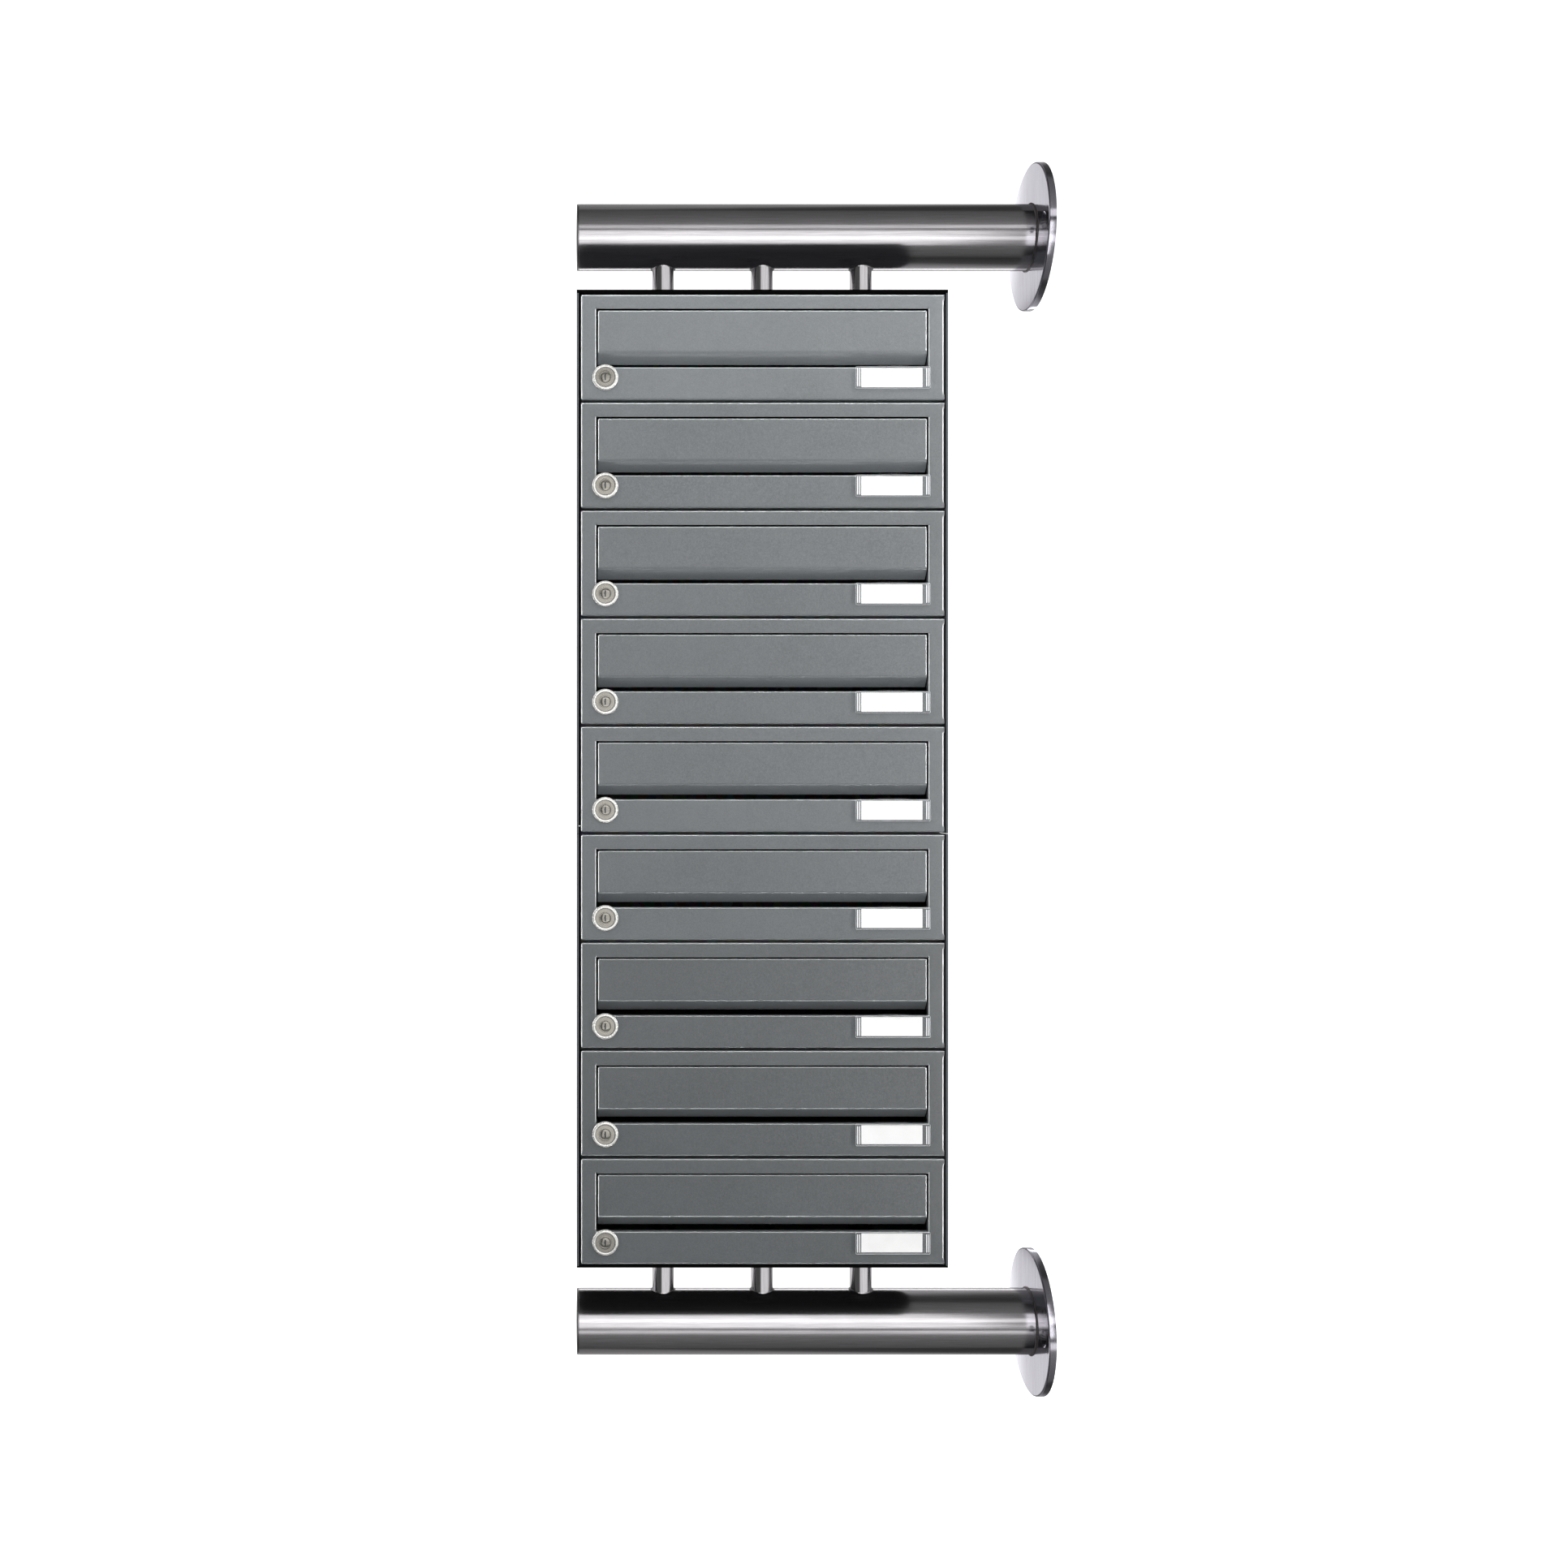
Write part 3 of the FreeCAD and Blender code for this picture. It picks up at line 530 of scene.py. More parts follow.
def door_panel(n):
    """A tray folded from one sheet, with cheeks and a hem round the letter slot."""
    low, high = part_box(f"door_{n}")
    xs = [low.x, CENTRE_X - SLOT_HALF, CENTRE_X + SLOT_HALF, high.x]
    slot_low, slot_high = low.z + SLOT_LOW, low.z + SLOT_HIGH
    zs = [low.z, low.z + PIVOT_NOTCH, slot_low, slot_high, high.z - PIVOT_NOTCH, high.z]
    front, back = low.y, high.y
    bm = bmesh.new()
    for i in range(3):
        for j in range(5):
            if (i, j) != (1, 2):  # the letter slot
                slab_xz(bm, front, xs[i], xs[i + 1], zs[j], zs[j + 1], (0, -1, 0))
    for j in range(5):
        slab_yz(bm, low.x, front, back, zs[j], zs[j + 1], (-1, 0, 0))
        if 0 < j < 4:  # notched at both ends for the pivots
            slab_yz(bm, high.x, front, back, zs[j], zs[j + 1], (1, 0, 0))
    for i in range(3):
        slab_xy(bm, low.z, xs[i], xs[i + 1], front, back, (0, 0, -1))
        slab_xy(bm, high.z, xs[i], xs[i + 1], front, back, (0, 0, 1))
    slab_yz(bm, xs[1], front, front + CHEEK_DEPTH, slot_low, slot_high, (1, 0, 0))
    slab_yz(bm, xs[2], front, front + CHEEK_DEPTH, slot_low, slot_high, (-1, 0, 0))
    slab_xy(bm, slot_low, xs[1], xs[2], front, front + HEM_DEPTH, (0, 0, 1))
    bmesh.ops.remove_doubles(bm, verts=bm.verts, dist=MERGE_DISTANCE)

    def weight(edge):
        middle = (edge.verts[0].co + edge.verts[1].co) / 2
        at_slot = abs(middle.x - CENTRE_X) < SLOT_HALF + MM and slot_low - MM < middle.z < slot_high + MM
        return 0.8 if at_slot else 1.0  # tighter folds round the slot

    mark_folds(bm, weight)
    made = piece(f"door_panel_{n}", finished(bm, f"door_panel_{n}"), PAINT[n], f"door_body_{n}")
    sheet_metal(made, DOOR_SHEET, fold=2.2 * MM, rim=0.3 * MM)
    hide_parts(f"door_{n}")


def flap_leaf(n):
    """The letter flap: a folded leaf with a lip that slants inwards, a hinge eye and its rod."""
    low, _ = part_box(f"door_{n}")
    front = low.y
    left, right = CENTRE_X - SLOT_HALF + FLAP_GAP, CENTRE_X + SLOT_HALF - FLAP_GAP
    top, bend, lip = low.z + SLOT_HIGH - FLAP_GAP, low.z + FLAP_BEND, low.z + LIP_LOW
    edge_depth = 3 * MM
    bm = bmesh.new()
    slab_xz(bm, front, left, right, bend, top, (0, -1, 0))
    lip_back = front + LIP_BACK
    lip_corners = [(left, front, bend), (right, front, bend), (right, lip_back, lip), (left, lip_back, lip)]
    face_out(bm, lip_corners, (0, -1, -1))
    slab_xy(bm, top, left, right, front, front + edge_depth, (0, 0, 1))
    slab_yz(bm, left, front, front + edge_depth, bend, top, (-1, 0, 0))
    slab_yz(bm, right, front, front + edge_depth, bend, top, (1, 0, 0))
    bmesh.ops.remove_doubles(bm, verts=bm.verts, dist=MERGE_DISTANCE)
    mark_folds(bm, lambda edge: 1.0)
    body = f"flap_body_{n}"
    leaf = piece(f"flap_leaf_{n}", finished(bm, f"flap_leaf_{n}"), FLAP_PAINT[n], body)
    sheet_metal(leaf, DOOR_SHEET, fold=1.7 * MM, rim=0.3 * MM)
    axis = joint_place(f"flap_hinge_{n}")
    width = right - left
    eye_profile = [
        (ROD_RADIUS, 0),
        (EYE_RADIUS, 0),
        (EYE_RADIUS, width),
        (ROD_RADIUS, width),
        (ROD_RADIUS, 0),
    ]
    eye_mesh = lathe(f"flap_eye_{n}", eye_profile, Vector((left, axis.y, axis.z)), (1, 0, 0), 32)
    eye = piece(f"flap_eye_{n}", eye_mesh, FLAP_PAINT[n], body)
    bevelled(eye, 0.2 * MM, 2)
    tip = 0.4 * MM
    rod_profile = [
        (0, 0),
        (ROD_RADIUS - tip, 0),
        (ROD_RADIUS, tip),
        (ROD_RADIUS, 2 * ROD_REACH - tip),
        (ROD_RADIUS - tip, 2 * ROD_REACH),
        (0, 2 * ROD_REACH),
    ]
    rod_start = Vector((CENTRE_X - ROD_REACH, axis.y, axis.z))
    rod_mesh = lathe(f"flap_rod_{n}", rod_profile, rod_start, (1, 0, 0), 32)
    rod = piece(f"flap_rod_{n}", rod_mesh, DARK_STEEL, body)
    bevelled(rod, 0.1 * MM, 2)
    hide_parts(f"flap_{n}")


# ---- locks ----


def rosette_mesh():
    """Rosette, bore and threaded barrel, turned about the lock's axis, with the door's face at 0."""
    bore = PLUG_RADIUS + 0.05 * MM
    dish_inner, dish_outer = -2.2 * MM, -1.85 * MM
    crown = [
        (9.8 * MM, -1.9 * MM),
        (10.1 * MM, -2.3 * MM),
        (10.6 * MM, -2.55 * MM),
        (11.3 * MM, -ROSETTE_PROUD),
        (12.0 * MM, -2.52 * MM),
        (12.6 * MM, -2.2 * MM),
        (13.0 * MM, -1.6 * MM),
        (ROSETTE_RADIUS, -0.3 * MM),
    ]
    thread = []
    pitch, start = 1.0 * MM, 1.0 * MM
    turns = int((BARREL_LENGTH - 2 * start) / pitch)
    for i in range(turns):
        thread += [(BARREL_RADIUS, start + i * pitch), (BARREL_RADIUS - 0.45 * MM, start + (i + 0.5) * pitch)]
    profile = [(bore, dish_inner), (9.5 * MM, dish_outer), *crown, (ROSETTE_RADIUS, 0), (BARREL_RADIUS, 0)]
    profile += [*thread, (BARREL_RADIUS - 0.4 * MM, BARREL_LENGTH), (bore, BARREL_LENGTH), (bore, dish_inner)]
    return lathe("rosette", profile, Vector(), (0, 1, 0))


def plug_mesh():
    """The plug: a domed face with a fine groove round it, and a keyway cut in."""
    face = -2.0 * MM
    profile = [
        (0, face - 0.3 * MM),
        (2.6 * MM, face - 0.22 * MM),
        (4.6 * MM, face),
        (5.0 * MM, face + 0.15 * MM),
        (5.3 * MM, face),
        (PLUG_RADIUS - 0.25 * MM, face),
        (PLUG_RADIUS, face + 0.25 * MM),
        (PLUG_RADIUS, CAM_START),
        (0, CAM_START),
    ]
    turned = lathe("plug", profile, Vector(), (0, 1, 0), 64)
    low = Vector((-0.7, face / MM - 1, -3.2)) * MM
    high = Vector((0.7, 3.0, 3.2)) * MM
    keyway = rounded_slab("keyway", low, high, 0.35 * MM, 1, 3)
    ward_low = Vector((-1.25, face / MM - 1, -0.3)) * MM
    ward_high = Vector((0.2, 3.0, 0.9)) * MM
    ward = rounded_slab("ward", ward_low, ward_high, 0.15 * MM, 1, 2)
    return carved(turned, keyway, ward)


def hexagon_mesh(name, across, bore, low, high):
    """A hexagon nut about the Y axis."""
    steps = 24
    bm = bmesh.new()
    rings = []
    for y in (low, high):
        outer, inner = [], []
        for i in range(steps):
            a = 2 * math.pi * i / steps
            flat_angle = (a + math.pi / 6) % (math.pi / 3) - math.pi / 6
            reach = across / 2 / math.cos(flat_angle)
            outer.append(bm.verts.new((reach * math.sin(a), y, reach * math.cos(a))))
            inner.append(bm.verts.new((bore * math.sin(a), y, bore * math.cos(a))))
        rings.append((outer, inner))
    (outer0, inner0), (outer1, inner1) = rings
    for i in range(steps):
        j = (i + 1) % steps
        bm.faces.new([outer0[i], outer0[j], outer1[j], outer1[i]])
        bm.faces.new([inner0[j], inner0[i], inner1[i], inner1[j]])
        bm.faces.new([inner0[i], inner0[j], outer0[j], outer0[i]])
        bm.faces.new([outer1[i], outer1[j], inner1[j], inner1[i]])
    bmesh.ops.recalc_face_normals(bm, faces=bm.faces)
    return finished(bm, name)


def cam_mesh():
    """The cam plate on the plug's inner end, which hangs while the lock is open."""
    low = Vector((-6, 18, -16)) * MM
    high = Vector((6, 20, 7)) * MM
    return rounded_slab("cam", low, high, 3 * MM, 1, 6)


def cam_screw_mesh():
    """The screw that holds the cam, with a cross recess in its head."""
    top, seat = 22 * MM, 20 * MM
    head = [(0, top), (2.6 * MM, top), *arc((2.6 * MM, 20.6 * MM), 1.4 * MM, 90, 0, 5)]
    head += [(4 * MM, seat), (0, seat)]
    turned = lathe("cam_screw", head, Vector(), (0, 1, 0), 48)
    slots = []
    for size in ((2.4, 0.5), (0.5, 2.4)):
        low = Vector((-size[0], 21.2, -size[1])) * MM
        high = Vector((size[0], 23.0, size[1])) * MM
        slots.append(rounded_slab("cross", low, high, 0.2 * MM, 1, 2))
    return carved(turned, *slots)


def darken_dish(ring, at):
    """Gives what lies inside a rosette's crown, the dish, bore and barrel, the plug's duller nickel."""
    dish_radius = 10.0 * MM
    ring.data.materials.append(NICKEL)
    for polygon in ring.data.polygons:
        offset = polygon.center - at
        if math.hypot(offset.x, offset.z) < dish_radius:
            polygon.material_index = 1


def make_locks():
    """The rosette and its nut ride on the door; the plug, the cam and its screw turn in them."""
    rosette, plug, cam, screw = rosette_mesh(), plug_mesh(), cam_mesh(), cam_screw_mesh()
    nut = hexagon_mesh("lock_nut", NUT_FLATS, BARREL_RADIUS, DOOR_SHEET, DOOR_SHEET + 3 * MM)
    for n in BOXES:
        at = joint_place(f"lock_turn_{n}")
        fixed, turning = f"door_body_{n}", f"lock_body_{n}"
        ring = piece(f"lock_rosette_{n}", moved(rosette, at), CHROME, fixed)
        darken_dish(ring, at)
        bevelled(ring, 0.12 * MM, 2)
        nut_piece = piece(f"lock_nut_{n}", moved(nut, at), ZINC, fixed)
        bevelled(nut_piece, 0.3 * MM, 2)
        core = piece(f"lock_plug_{n}", moved(plug, at), NICKEL, turning)
        bevelled(core, 0.08 * MM, 2)
        arm = piece(f"lock_cam_{n}", moved(cam, at), ZINC, turning)
        bevelled(arm, 0.3 * MM, 2)
        cap = piece(f"lock_cam_screw_{n}", moved(screw, at), ZINC, turning)
        bevelled(cap, 0.08 * MM, 2)
        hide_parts(f"lock_housing_{n}")
        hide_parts(f"lock_core_{n}")


# ---- name plates ----


def make_name_plate(n):
    """A clear moulded holder with ribbed ends, and a blank card behind its window."""
    low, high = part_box(f"name_plate_{n}")
    hook_rise = 1 * MM
    top = high.z - hook_rise
    front, back = low.y, FRONT_Y
    body = f"door_body_{n}"
    left_end, right_end = 6 * MM, 7.8 * MM
    card_low = (low.x + left_end, back - 0.62 * MM, low.z + 1.6 * MM)
    card_high = (high.x - right_end, back - 0.12 * MM, top - 1.4 * MM)
    card_mesh = rounded_slab("card", card_low, card_high, 0.4 * MM, 1, 3)
    card = piece(f"name_card_{n}", card_mesh, CARD, body)
    bevelled(card, 0.08 * MM, 1)
    window_low = (low.x, front + 0.6 * MM, low.z)
    window_high = (high.x, back - 0.7 * MM, top)
    window = rounded_slab("window", window_low, window_high, 1.2 * MM, 1, 5)
    holder = piece(f"name_holder_{n}", window, CLEAR, body)
    bevelled(holder, 0.35 * MM, 3)
    rib_pitch, rib_width = 2.2 * MM, 1.1 * MM
    for side, x in (("left", low.x + 1.2 * MM), ("right", high.x - 4.6 * MM)):
        for i in range(2):
            rib_low = (x + i * rib_pitch, front, low.z + 2 * MM)
            rib_high = (x + i * rib_pitch + rib_width, front + 1.0 * MM, top - 2 * MM)
            rib_mesh = rounded_slab("rib", rib_low, rib_high, 0.4 * MM, 1, 3)
            rib = piece(f"name_rib_{side}_{i + 1}_{n}", rib_mesh, CLEAR_RIB, body)
            bevelled(rib, 0.2 * MM, 2)
    hook_half = 15 * MM
    middle = (low.x + high.x) / 2
    hook_low = (middle - hook_half, front + 0.9 * MM, top - 0.6 * MM)
    hook_high = (middle + hook_half, back + 3 * MM, high.z)
    hook_mesh = rounded_slab("hook", hook_low, hook_high, 0.6 * MM, 2, 4)
    hook = piece(f"name_hook_{n}", hook_mesh, CLEAR_THIN, body)
    bevelled(hook, 0.2 * MM, 2)
    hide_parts(f"name_plate_{n}")


# ---- cladding ----


def casing_shell(name, outside, trim_level, open_level):
    """Two sides and the roof or the floor, folded from one sheet, set back where the trim sits."""
    low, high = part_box(name)
    up = outside > open_level
    trim_depth = 4 * MM
    front, back = low.y, high.y
    bm = bmesh.new()
    for x, way in ((low.x, -1), (high.x, 1)):
        slab_yz(bm, x, front, front + trim_depth, open_level, trim_level, (way, 0, 0))
        slab_yz(bm, x, front + trim_depth, back, open_level, trim_level, (way, 0, 0))
        slab_yz(bm, x, front + trim_depth, back, trim_level, outside, (way, 0, 0))
    slab_xy(bm, outside, low.x, high.x, front + trim_depth, back, (0, 0, 1 if up else -1))
    bmesh.ops.remove_doubles(bm, verts=bm.verts, dist=MERGE_DISTANCE)
    mark_folds(bm, lambda edge: 1.0)
    made = piece(name + "_shell", finished(bm, name + "_shell"), CLADDING, CARRIER)
    # The roof and the floor get black sheet, which also stands in for the shade on them that the tubes
    # reflect.
    made.data.materials.append(BLACK_SHEET)
    for polygon in made.data.polygons:
        if abs(polygon.normal.z) > 0.9:
            polygon.material_index = 1  # the roof and the floor are black
    sheet_metal(made, SHEET, fold=2.4 * MM, rim=0.35 * MM)
    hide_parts(name)


def make_trims():
    """The black strips along the front edges of the roof and the floor, made near-black so that they also
    stand in for the shade in the joints there.
    """
    low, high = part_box("edge_trims")
    spans = (
        ("roof_trim", shell_high.z - ROOF_TRIM, high.z),
        ("floor_trim", low.z, low.z + SHEET),
    )
    for name, z0, z1 in spans:
        mesh = rounded_slab(name, (low.x, low.y, z0), (high.x, high.y, z1), 0.5 * MM, 1, 4)
        trim = piece(name, mesh, TRIM, CARRIER)
        bevelled(trim, 0.4 * MM, 3)
    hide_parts("edge_trims")


def make_back_rivets():
    """Blind rivets round the edge of each back panel."""
    dome = [(0, 0.9 * MM), (1.2 * MM, 0.9 * MM)]
    dome += [*arc((1.6 * MM, -0.1 * MM), 1.6 * MM, 70, 5, 5), (3.2 * MM, 0)]
    rivet = lathe("rivet", dome, Vector(), (0, 1, 0), 32)
    low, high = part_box("back_panels")
    inset = 9 * MM
    spans = ((low.z, SHELL_SPLIT, 4), (SHELL_SPLIT, high.z, 5))
    for row, (z0, z1, count) in enumerate(spans, start=1):
        for i in range(count):
            z = z0 + inset + (z1 - z0 - 2 * inset) * i / (count - 1)
            for side, x in (("left", low.x + inset), ("right", high.x - inset)):
                name = f"back_rivet_{side}_{row}_{i + 1}"
                piece(name, moved(rivet, Vector((x, high.y, z))), ZINC, CARRIER)


# ---- carrier tubes ----


def make_tube(name, cap_name, flange_name, steel):
    """A carrier tube with its end cap, its wall plate and the weld between them. Returns the cap."""
    low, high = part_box(name)
    level = (low.z + high.z) / 2
    start, length = Vector((low.x, 0, level)), high.x - low.x
    inner = TUBE_RADIUS - TUBE_WALL
    edge = 0.4 * MM
    profile = [
        (inner, 0),
        (TUBE_RADIUS - edge, 0),
        (TUBE_RADIUS, edge),
        (TUBE_RADIUS, length * 0.33),
        (TUBE_RADIUS, length * 0.66),
        (TUBE_RADIUS, length),
        (inner, length),
        (inner, 0),
    ]
    tube = piece(name + "_pipe", lathe(name, profile, start, (1, 0, 0), 160), steel, CARRIER)
    sharp_by_angle(tube)
    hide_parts(name)
    cap_thick, plug_depth = 2 * MM, 14 * MM
    cap_face = Vector((low.x - cap_thick, 0, level))
    dome = [(0, -0.6 * MM), (12 * MM, -0.5 * MM), (24 * MM, -0.2 * MM), (TUBE_RADIUS - 1.6 * MM, 0.1 * MM)]
    dome += arc((TUBE_RADIUS - 1.3 * MM, 1.35 * MM), 1.25 * MM, 270, 360, 5)
    dome += [(TUBE_RADIUS - 0.05 * MM, 1.85 * MM), (inner, 1.9 * MM)]
    dome += [(inner, plug_depth), (inner - 3 * MM, plug_depth)]
    cap_mesh = lathe(cap_name, dome, cap_face, (1, 0, 0), 128)
    cap = piece(cap_name, cap_mesh, CAP_STEEL, CARRIER)
    sharp_by_angle(cap)
    face = Vector((high.x, 0, level))
    weld_ring(name + "_flange_weld", face)
    flange = piece(flange_name + "_plate", flange_mesh(level), FLANGE_STEEL, CARRIER)
    sharp_by_angle(flange)
    bevelled(flange, 0.35 * MM, 2)
    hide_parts(flange_name)
    return cap


def sharp_by_angle(made, degrees=30):
    """Keeps edges crisp where two smooth faces meet at more than an angle."""
    made.data.set_sharp_from_angle(angle=math.radians(degrees))


def flange_mesh(level):
    """The wall plate: a disc with a rounded front rim and two countersunk screw holes."""
    radius = 78 * MM
    rim = 1.6 * MM
    profile = [(0, 0), (radius - rim, 0), *arc((radius - rim, rim), rim, 270, 360, 6)]
    profile += [(radius, FLANGE_THICK), (0, FLANGE_THICK)]
    face = Vector((-FLANGE_THICK, 0, level))
    disc = lathe("flange", profile, face, (1, 0, 0), 160)
    hole = 4.5 * MM
    sink = 8.5 * MM
    past = 1 * MM
    cone = [(0, -past), (sink + past, -past), (sink, 0), (hole, sink - hole)]
    cone += [(hole, FLANGE_THICK + past), (0, FLANGE_THICK + past)]
    hole_aside = 57.5 * MM
    cutters = []
    for way in (-1, 1):
        centre = face + Vector((0, way * hole_aside, 0))
        cutters.append(lathe("countersink", cone, centre, (1, 0, 0), 48))
    return carved(disc, *cutters)


def weld_ring(name, face):
    """A rippled fillet weld round the tube, where it meets the wall plate."""
    around, across, ripples = 360, 7, 84
    bm = bmesh.new()
    rows = []
    for i in range(around):
        a = 2 * math.pi * i / around
        beat = 1 + 0.10 * math.sin(a * ripples) + 0.06 * math.sin(a * 7 + 1.3) + 0.05 * math.sin(a * 17)
        row = []
        for k in range(across):
            t = k / (across - 1)
            out = WELD_LEG * beat * math.sin(t * math.pi / 2) ** 1.3
            along = -WELD_LEG * beat * math.cos(t * math.pi / 2) ** 1.3
            radius = TUBE_RADIUS - 0.2 * MM + out
            spot = Vector((along + 0.1 * MM, radius * math.sin(a), radius * math.cos(a)))
            row.append(bm.verts.new(face + spot))
        rows.append(row)
    for i in range(around):
        first, second = rows[i], rows[(i + 1) % around]
        for k in range(across - 1):
            bm.faces.new([first[k], first[k + 1], second[k + 1], second[k]])
        bm.faces.new([first[across - 1], first[0], second[0], second[across - 1]])
    bmesh.ops.recalc_face_normals(bm, faces=bm.faces)
    weld = piece(name, finished(bm, name), WELD_STEEL, CARRIER)
    sharp_by_angle(weld, 60)


def make_sleeves():
    """Sleeves between cladding and tubes: each upper end is cut to the tube and welded all round."""
    low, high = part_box("spacer_sleeves")
    radius = 12 * MM
    first_x, pitch = low.x + radius, (high.x - low.x - 2 * radius) / 2
    for side, word, foot in ((1, "upper", shell_high.z), (-1, "lower", lower_shell_low.z)):
        tube_low, tube_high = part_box(f"{word}_tube")
        level = (tube_low.z + tube_high.z) / 2
        for i in range(3):
            centre = Vector((first_x + i * pitch, 0, 0))
            sleeve_piece(f"{word}_sleeve_{i + 1}", centre, radius, foot, level, side)
    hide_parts("spacer_sleeves")


def saddle(level, side, y):
    """Height of the tube's near surface at a distance y from the plane through its axis."""
    return level - side * math.sqrt(TUBE_RADIUS * TUBE_RADIUS - y * y)


def sleeve_piece(name, centre, radius, foot, level, side):
    """One sleeve with its weld: flat at the foot, cut to the tube's surface at the other end."""
    around = 72
    edge = 0.5 * MM
    bore = 6.2 * MM
    foot_level = foot + side * 0.05 * MM
    bm = bmesh.new()
    rows = []
    for i in range(around):
        a = 2 * math.pi * i / around
        dx, dy = math.cos(a), math.sin(a)
        section = [
            (bore, foot_level),
            (radius - edge, foot_level),
            (radius, foot + side * edge),
            (radius, saddle(level, side, radius * dy)),
            (bore, saddle(level, side, bore * dy)),
        ]
        rows.append([bm.verts.new((centre.x + r * dx, centre.y + r * dy, z)) for r, z in section])
    for i in range(around):
        first, second = rows[i], rows[(i + 1) % around]
        for k in range(len(first)):
            m = (k + 1) % len(first)
            bm.faces.new([first[k], first[m], second[m], second[k]])
    bmesh.ops.recalc_face_normals(bm, faces=bm.faces)
    sleeve = piece(name, finished(bm, name), SLEEVE_STEEL, CARRIER)
    sharp_by_angle(sleeve)
    sleeve_weld(name + "_weld", centre, radius, level, side)
    return sleeve


def sleeve_weld(name, centre, radius, level, side):
    """A small concave fillet along the saddle between a sleeve and its tube."""
    around, across, ripples = 180, 6, 38
    sunk = 0.1 * MM
    bm = bmesh.new()
    rows = []
    for i in range(around):
        a = 2 * math.pi * i / around
        beat = 1 + 0.10 * math.sin(a * ripples) + 0.06 * math.sin(a * 5 + 0.4)
        leg = 2.6 * MM * beat
        row = []
        for k in range(across):
            t = k / (across - 1)
            reach = radius - sunk + leg * (1 - math.cos(t * math.pi / 2))
            drop = leg * (1 - math.sin(t * math.pi / 2))
            y = reach * math.sin(a)
            z = saddle(level, side, y) + side * (sunk - drop)
            row.append(bm.verts.new((centre.x + reach * math.cos(a), centre.y + y, z)))
        inner = radius - sunk
        y = inner * math.sin(a)
        z = saddle(level, side, y) + side * sunk
        row.append(bm.verts.new((centre.x + inner * math.cos(a), centre.y + y, z)))
        rows.append(row)
    for i in range(around):
        first, second = rows[i], rows[(i + 1) % around]
        for k in range(len(first)):
            m = (k + 1) % len(first)
            bm.faces.new([first[k], first[m], second[m], second[k]])
    bmesh.ops.recalc_face_normals(bm, faces=bm.faces)
    weld = piece(name, finished(bm, name), SLEEVE_STEEL, CARRIER)
    sharp_by_angle(weld, 60)


# ---- CAD nodes that stay ----


def dress(node, material, bevel=0.0):
    """Gives a CAD node its material, and softens its edges where that helps."""
    made = frame["nodes"][node]
    made.data.materials.clear()
    made.data.materials.append(material)
    if bevel:
        weld = made.modifiers.new("Weld", "WELD")
        weld.merge_threshold = 1e-6
        bevelled(made, bevel, 2)


# ---- stage, lights and camera ----


def make_stage():
    """A pale floor well below the unit that curves up into a backdrop behind it."""
    low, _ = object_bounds()
    drop, steps = 0.45, 16
    floor = low.z - drop
    front, depth, radius, wide, top = -7.0, 2.6, 1.2, 9.0, 6.0
    bm = bmesh.new()
    outline = [(front, floor)]
    for i in range(steps + 1):
        a = math.radians(90 * i / steps)
        outline.append((depth + radius * math.sin(a), floor + radius * (1 - math.cos(a))))
    outline.append((depth + radius, floor + top))
    rows = [[bm.verts.new((x, y, z)) for x in (-wide, wide)] for y, z in outline]
    for first, second in zip(rows, rows[1:]):
        bm.faces.new([first[0], first[1], second[1], second[0]])
    mesh = finished(bm, "studio_floor")
    stage = bpy.data.objects.new("studio_floor", mesh)
    bpy.context.scene.collection.objects.link(stage)
    stage.data.shade_smooth()
    n = Nodes("studio_paper")
    mottle = n.noise(n.place(), 3.0, 2.0, 0.5)
    n.link(n.blend(mottle, rgba(0.9, 0.9, 0.9), rgba(0.93, 0.93, 0.93)), "Base Color")
    n.set(Roughness=0.9, Emission_Color=rgba(1, 1, 1), Emission_Strength=1.0)
    stage.data.materials.append(n.material)
    stage.visible_glossy = False
    stage.visible_diffuse = False


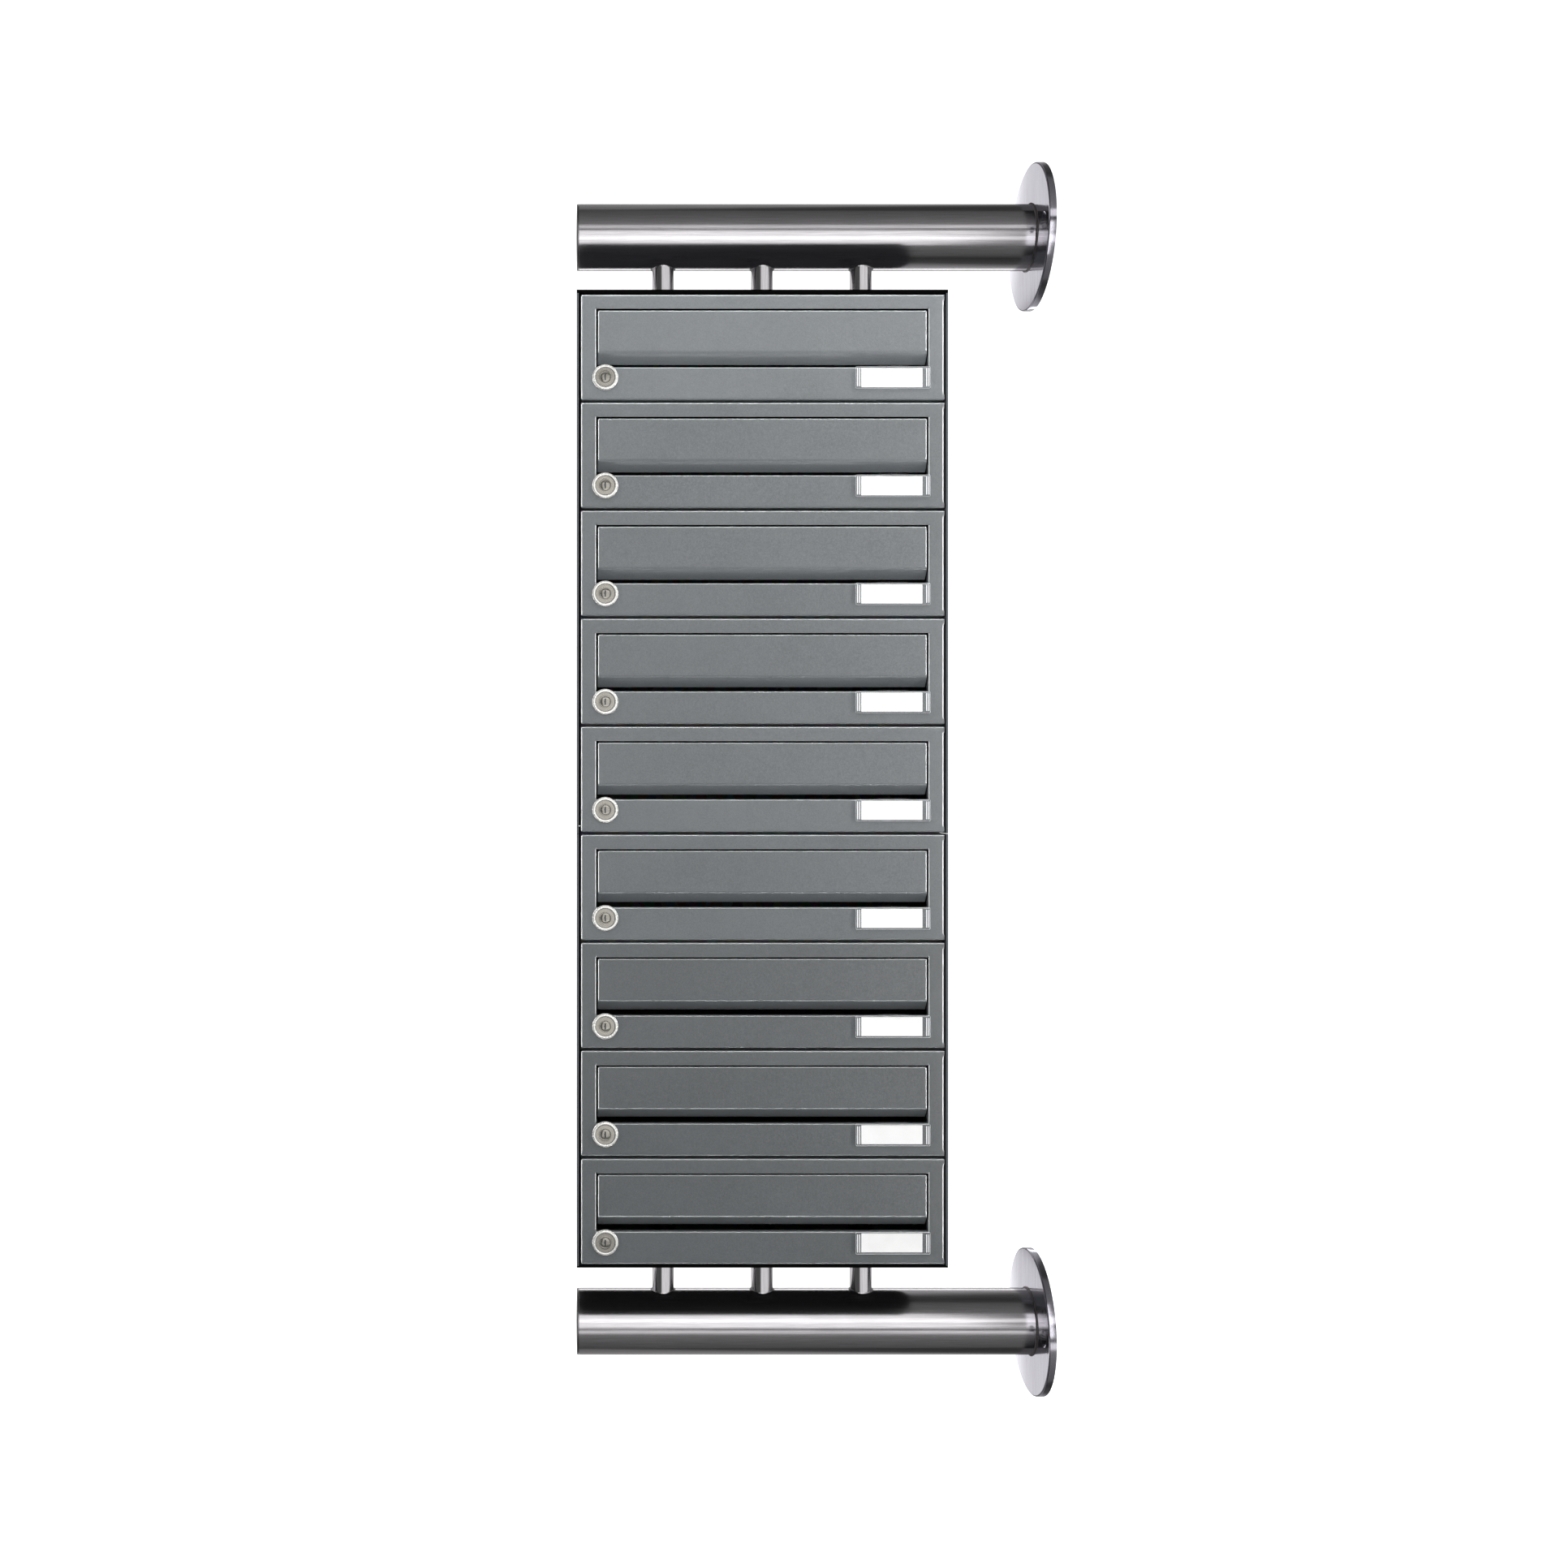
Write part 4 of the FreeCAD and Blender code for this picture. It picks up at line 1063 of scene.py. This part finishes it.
def make_world():
    """White to the camera; to everything else a studio with a bright band above and below the horizon."""
    world = bpy.data.worlds.new("studio")
    bpy.context.scene.world = world
    world.use_nodes = True
    tree = world.node_tree
    tree.nodes.clear()

    def add(kind, **settings):
        node = tree.nodes.new(kind)
        for key, value in settings.items():
            setattr(node, key, value)
        return node

    def ramp(stops, value):
        node = add("ShaderNodeValToRGB")
        elements = node.color_ramp.elements
        while len(elements) < len(stops):
            elements.new(0.5)
        for element, (position, level) in zip(elements, stops):
            element.position = position
            element.color = (level, level, level, 1)
        tree.links.new(value, node.inputs[0])
        return node.outputs[0]

    def math_node(operation, a, b):
        node = add("ShaderNodeMath", operation=operation)
        for i, value in enumerate((a, b)):
            if isinstance(value, bpy.types.NodeSocket):
                tree.links.new(value, node.inputs[i])
            else:
                node.inputs[i].default_value = value
        return node.outputs[0]

    where = add("ShaderNodeTexCoord")
    split = add("ShaderNodeSeparateXYZ")
    tree.links.new(where.outputs["Generated"], split.inputs[0])
    height = math_node("MULTIPLY_ADD", split.outputs["Z"], 0.5)
    height.node.inputs[2].default_value = 0.5
    # Sine of the elevation and level, from straight down; the upper half mirrors them.
    bands = (
        (-1, 0.1), (-0.5, 0.2), (-0.43, 0.2), (-0.4, 0.9), (-0.25, 0.9), (-0.22, 0.03), (-0.17, 0.03),
        (-0.12, 0.3),
    )
    stops = [((z + 1) / 2, level) for z, level in bands]
    stops += [(1 - position, level) for position, level in reversed(stops)]
    levels = ramp(stops, height)
    turn = math_node("ARCTAN2", split.outputs["X"], math_node("MULTIPLY", split.outputs["Y"], -1.0))
    turn01 = math_node("ADD", math_node("DIVIDE", turn, 2 * math.pi), 0.5)
    # Degrees round from where the doors face, towards the wall, and a factor.
    around = (
        (-180, 2.0), (-175, 2.0), (-168, 0.8), (-125, 0.8), (-100, 1.2), (-75, 0.1), (-22, 0.1), (-12, 0.9),
        (0, 1.0), (60, 1.0), (75, 0.5), (110, 0.3), (155, 0.5), (163, 2.0), (180, 2.0),
    )
    sides = ramp([((degrees + 180) / 360, level) for degrees, level in around], turn01)
    level = math_node("MULTIPLY", levels, sides)
    studio = add("ShaderNodeBackground")
    tree.links.new(level, studio.inputs["Color"])
    studio.inputs["Strength"].default_value = 1.0
    white = add("ShaderNodeBackground")
    white.inputs["Color"].default_value = (1, 1, 1, 1)
    path = add("ShaderNodeLightPath")
    mix = add("ShaderNodeMixShader")
    out = add("ShaderNodeOutputWorld")
    tree.links.new(path.outputs["Is Camera Ray"], mix.inputs[0])
    tree.links.new(studio.outputs[0], mix.inputs[1])
    tree.links.new(white.outputs[0], mix.inputs[2])
    tree.links.new(mix.outputs[0], out.inputs[0])


def soft_light(name, at, target, size, radiance, in_reflections=True):
    """A rectangular soft light of a stated radiance."""
    data = bpy.data.lights.new(name, "AREA")
    data.shape = "RECTANGLE"
    data.size, data.size_y = size
    data.energy = radiance * math.pi * size[0] * size[1]
    light = bpy.data.objects.new(name, data)
    bpy.context.scene.collection.objects.link(light)
    light.location = at
    light.rotation_euler = (Vector(target) - Vector(at)).to_track_quat("-Z", "Y").to_euler()
    light.visible_camera = False
    light.visible_glossy = in_reflections
    return light


def only_on(light, names):
    """Keeps a light to the pieces whose names begin in one of the given ways."""
    group = bpy.data.collections.new(light.name + "_pieces")
    for made in bpy.context.scene.objects:
        if made.name.startswith(names):
            group.objects.link(made)
    light.light_linking.receiver_collection = group


def make_lights():
    """A softbox ahead for the tubes, fills that reflections leave out, and strips for the doors' folds."""
    soft_light("softbox_front", (-0.2, -1.415, 0), (-0.2, 0, 0), (1.0, 1.45), 1.0)
    fills = (
        ("fill_above", (CENTRE_X - 0.1, FRONT_Y - 1.0, 1.35), 0.2, (1.6, 0.6), 2.8),
        ("fill_front", (CENTRE_X, FRONT_Y - 1.5, 0.45), 0.1, (1.2, 1.2), 4.0),
        ("fill_below", (CENTRE_X, FRONT_Y - 1.0, -1.35), -0.2, (1.6, 0.6), 1.5),
    )
    for name, at, aim, size, radiance in fills:
        soft_light(name, at, (CENTRE_X, FRONT_Y, aim), size, radiance, False)
    for name, aside in (("back_left", -2.2), ("back_right", 2.2)):
        soft_light(name, (CENTRE_X + aside, 1.1, 0.7), (CENTRE_X, 0, 0), (1.5, 2.0), 3.5, False)
    strips = (
        ("strip_left", (-1.5, 0.1), (0.25, 2.6), 300.0),
        ("strip_right", (1.3, 0.1), (0.25, 2.6), 300.0),
        ("strip_above", (0.0, 1.6), (2.4, 0.25), 130.0),
        ("strip_below", (0.0, -1.6), (2.4, 0.25), 160.0),
    )
    for name, (aside, up), size, radiance in strips:
        at = (CENTRE_X + aside, FRONT_Y - 0.6, up)
        strip = soft_light(name, at, (CENTRE_X, FRONT_Y, 0), size, radiance)
        strip.visible_diffuse = False
        only_on(strip, ("door_panel", "flap_leaf"))


def make_camera():
    """Square to the doors, level with mid-height and in line with the left side of the cladding."""
    distance = 1.6
    view_width = 1.5954
    aside = -0.187
    picture_centre = Vector((0.0219, -0.0047))
    data = bpy.data.cameras.new("camera")
    data.sensor_width = 36
    data.lens = data.sensor_width * distance / view_width
    data.shift_x = (picture_centre.x - aside) / view_width
    data.shift_y = picture_centre.y / view_width
    camera = bpy.data.objects.new("camera", data)
    camera.location = (CENTRE_X + aside, FRONT_Y - distance, 0)
    camera.rotation_euler = (math.radians(90), 0, 0)
    bpy.context.scene.collection.objects.link(camera)
    bpy.context.scene.camera = camera


make_camera()
for n in BOXES:
    door_panel(n)
    flap_leaf(n)
    make_name_plate(n)
make_locks()
casing_shell("upper_casing", shell_high.z, shell_high.z - ROOF_TRIM, SHELL_SPLIT)
casing_shell("lower_casing", lower_shell_low.z, lower_shell_low.z + SHEET, lower_shell_high.z)
make_trims()
make_back_rivets()
upper_cap = make_tube("upper_tube", "upper_end_cap", "upper_wall_flange", UPPER_STEEL)
make_tube("lower_tube", "lower_end_cap", "lower_wall_flange", LOWER_STEEL)
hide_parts("tube_end_caps")
make_sleeves()
dress("letterbox_bodies", SHADED_BOX_SHEET)
dress("back_panels", CLADDING, 0.3 * MM)
dress("door_buffers", RUBBER, 0.6 * MM)
dress("door_hinge_pins", ZINC)
# Painted shade: the hanger bolts and washers are given dark steel, so that they stay dark inside the boxes.
dress("hanger_bolts", DARK_STEEL)
dress("hanger_washers", DARK_STEEL)
make_stage()
make_world()
make_lights()
bpy.context.scene.view_settings.view_transform = "Standard"
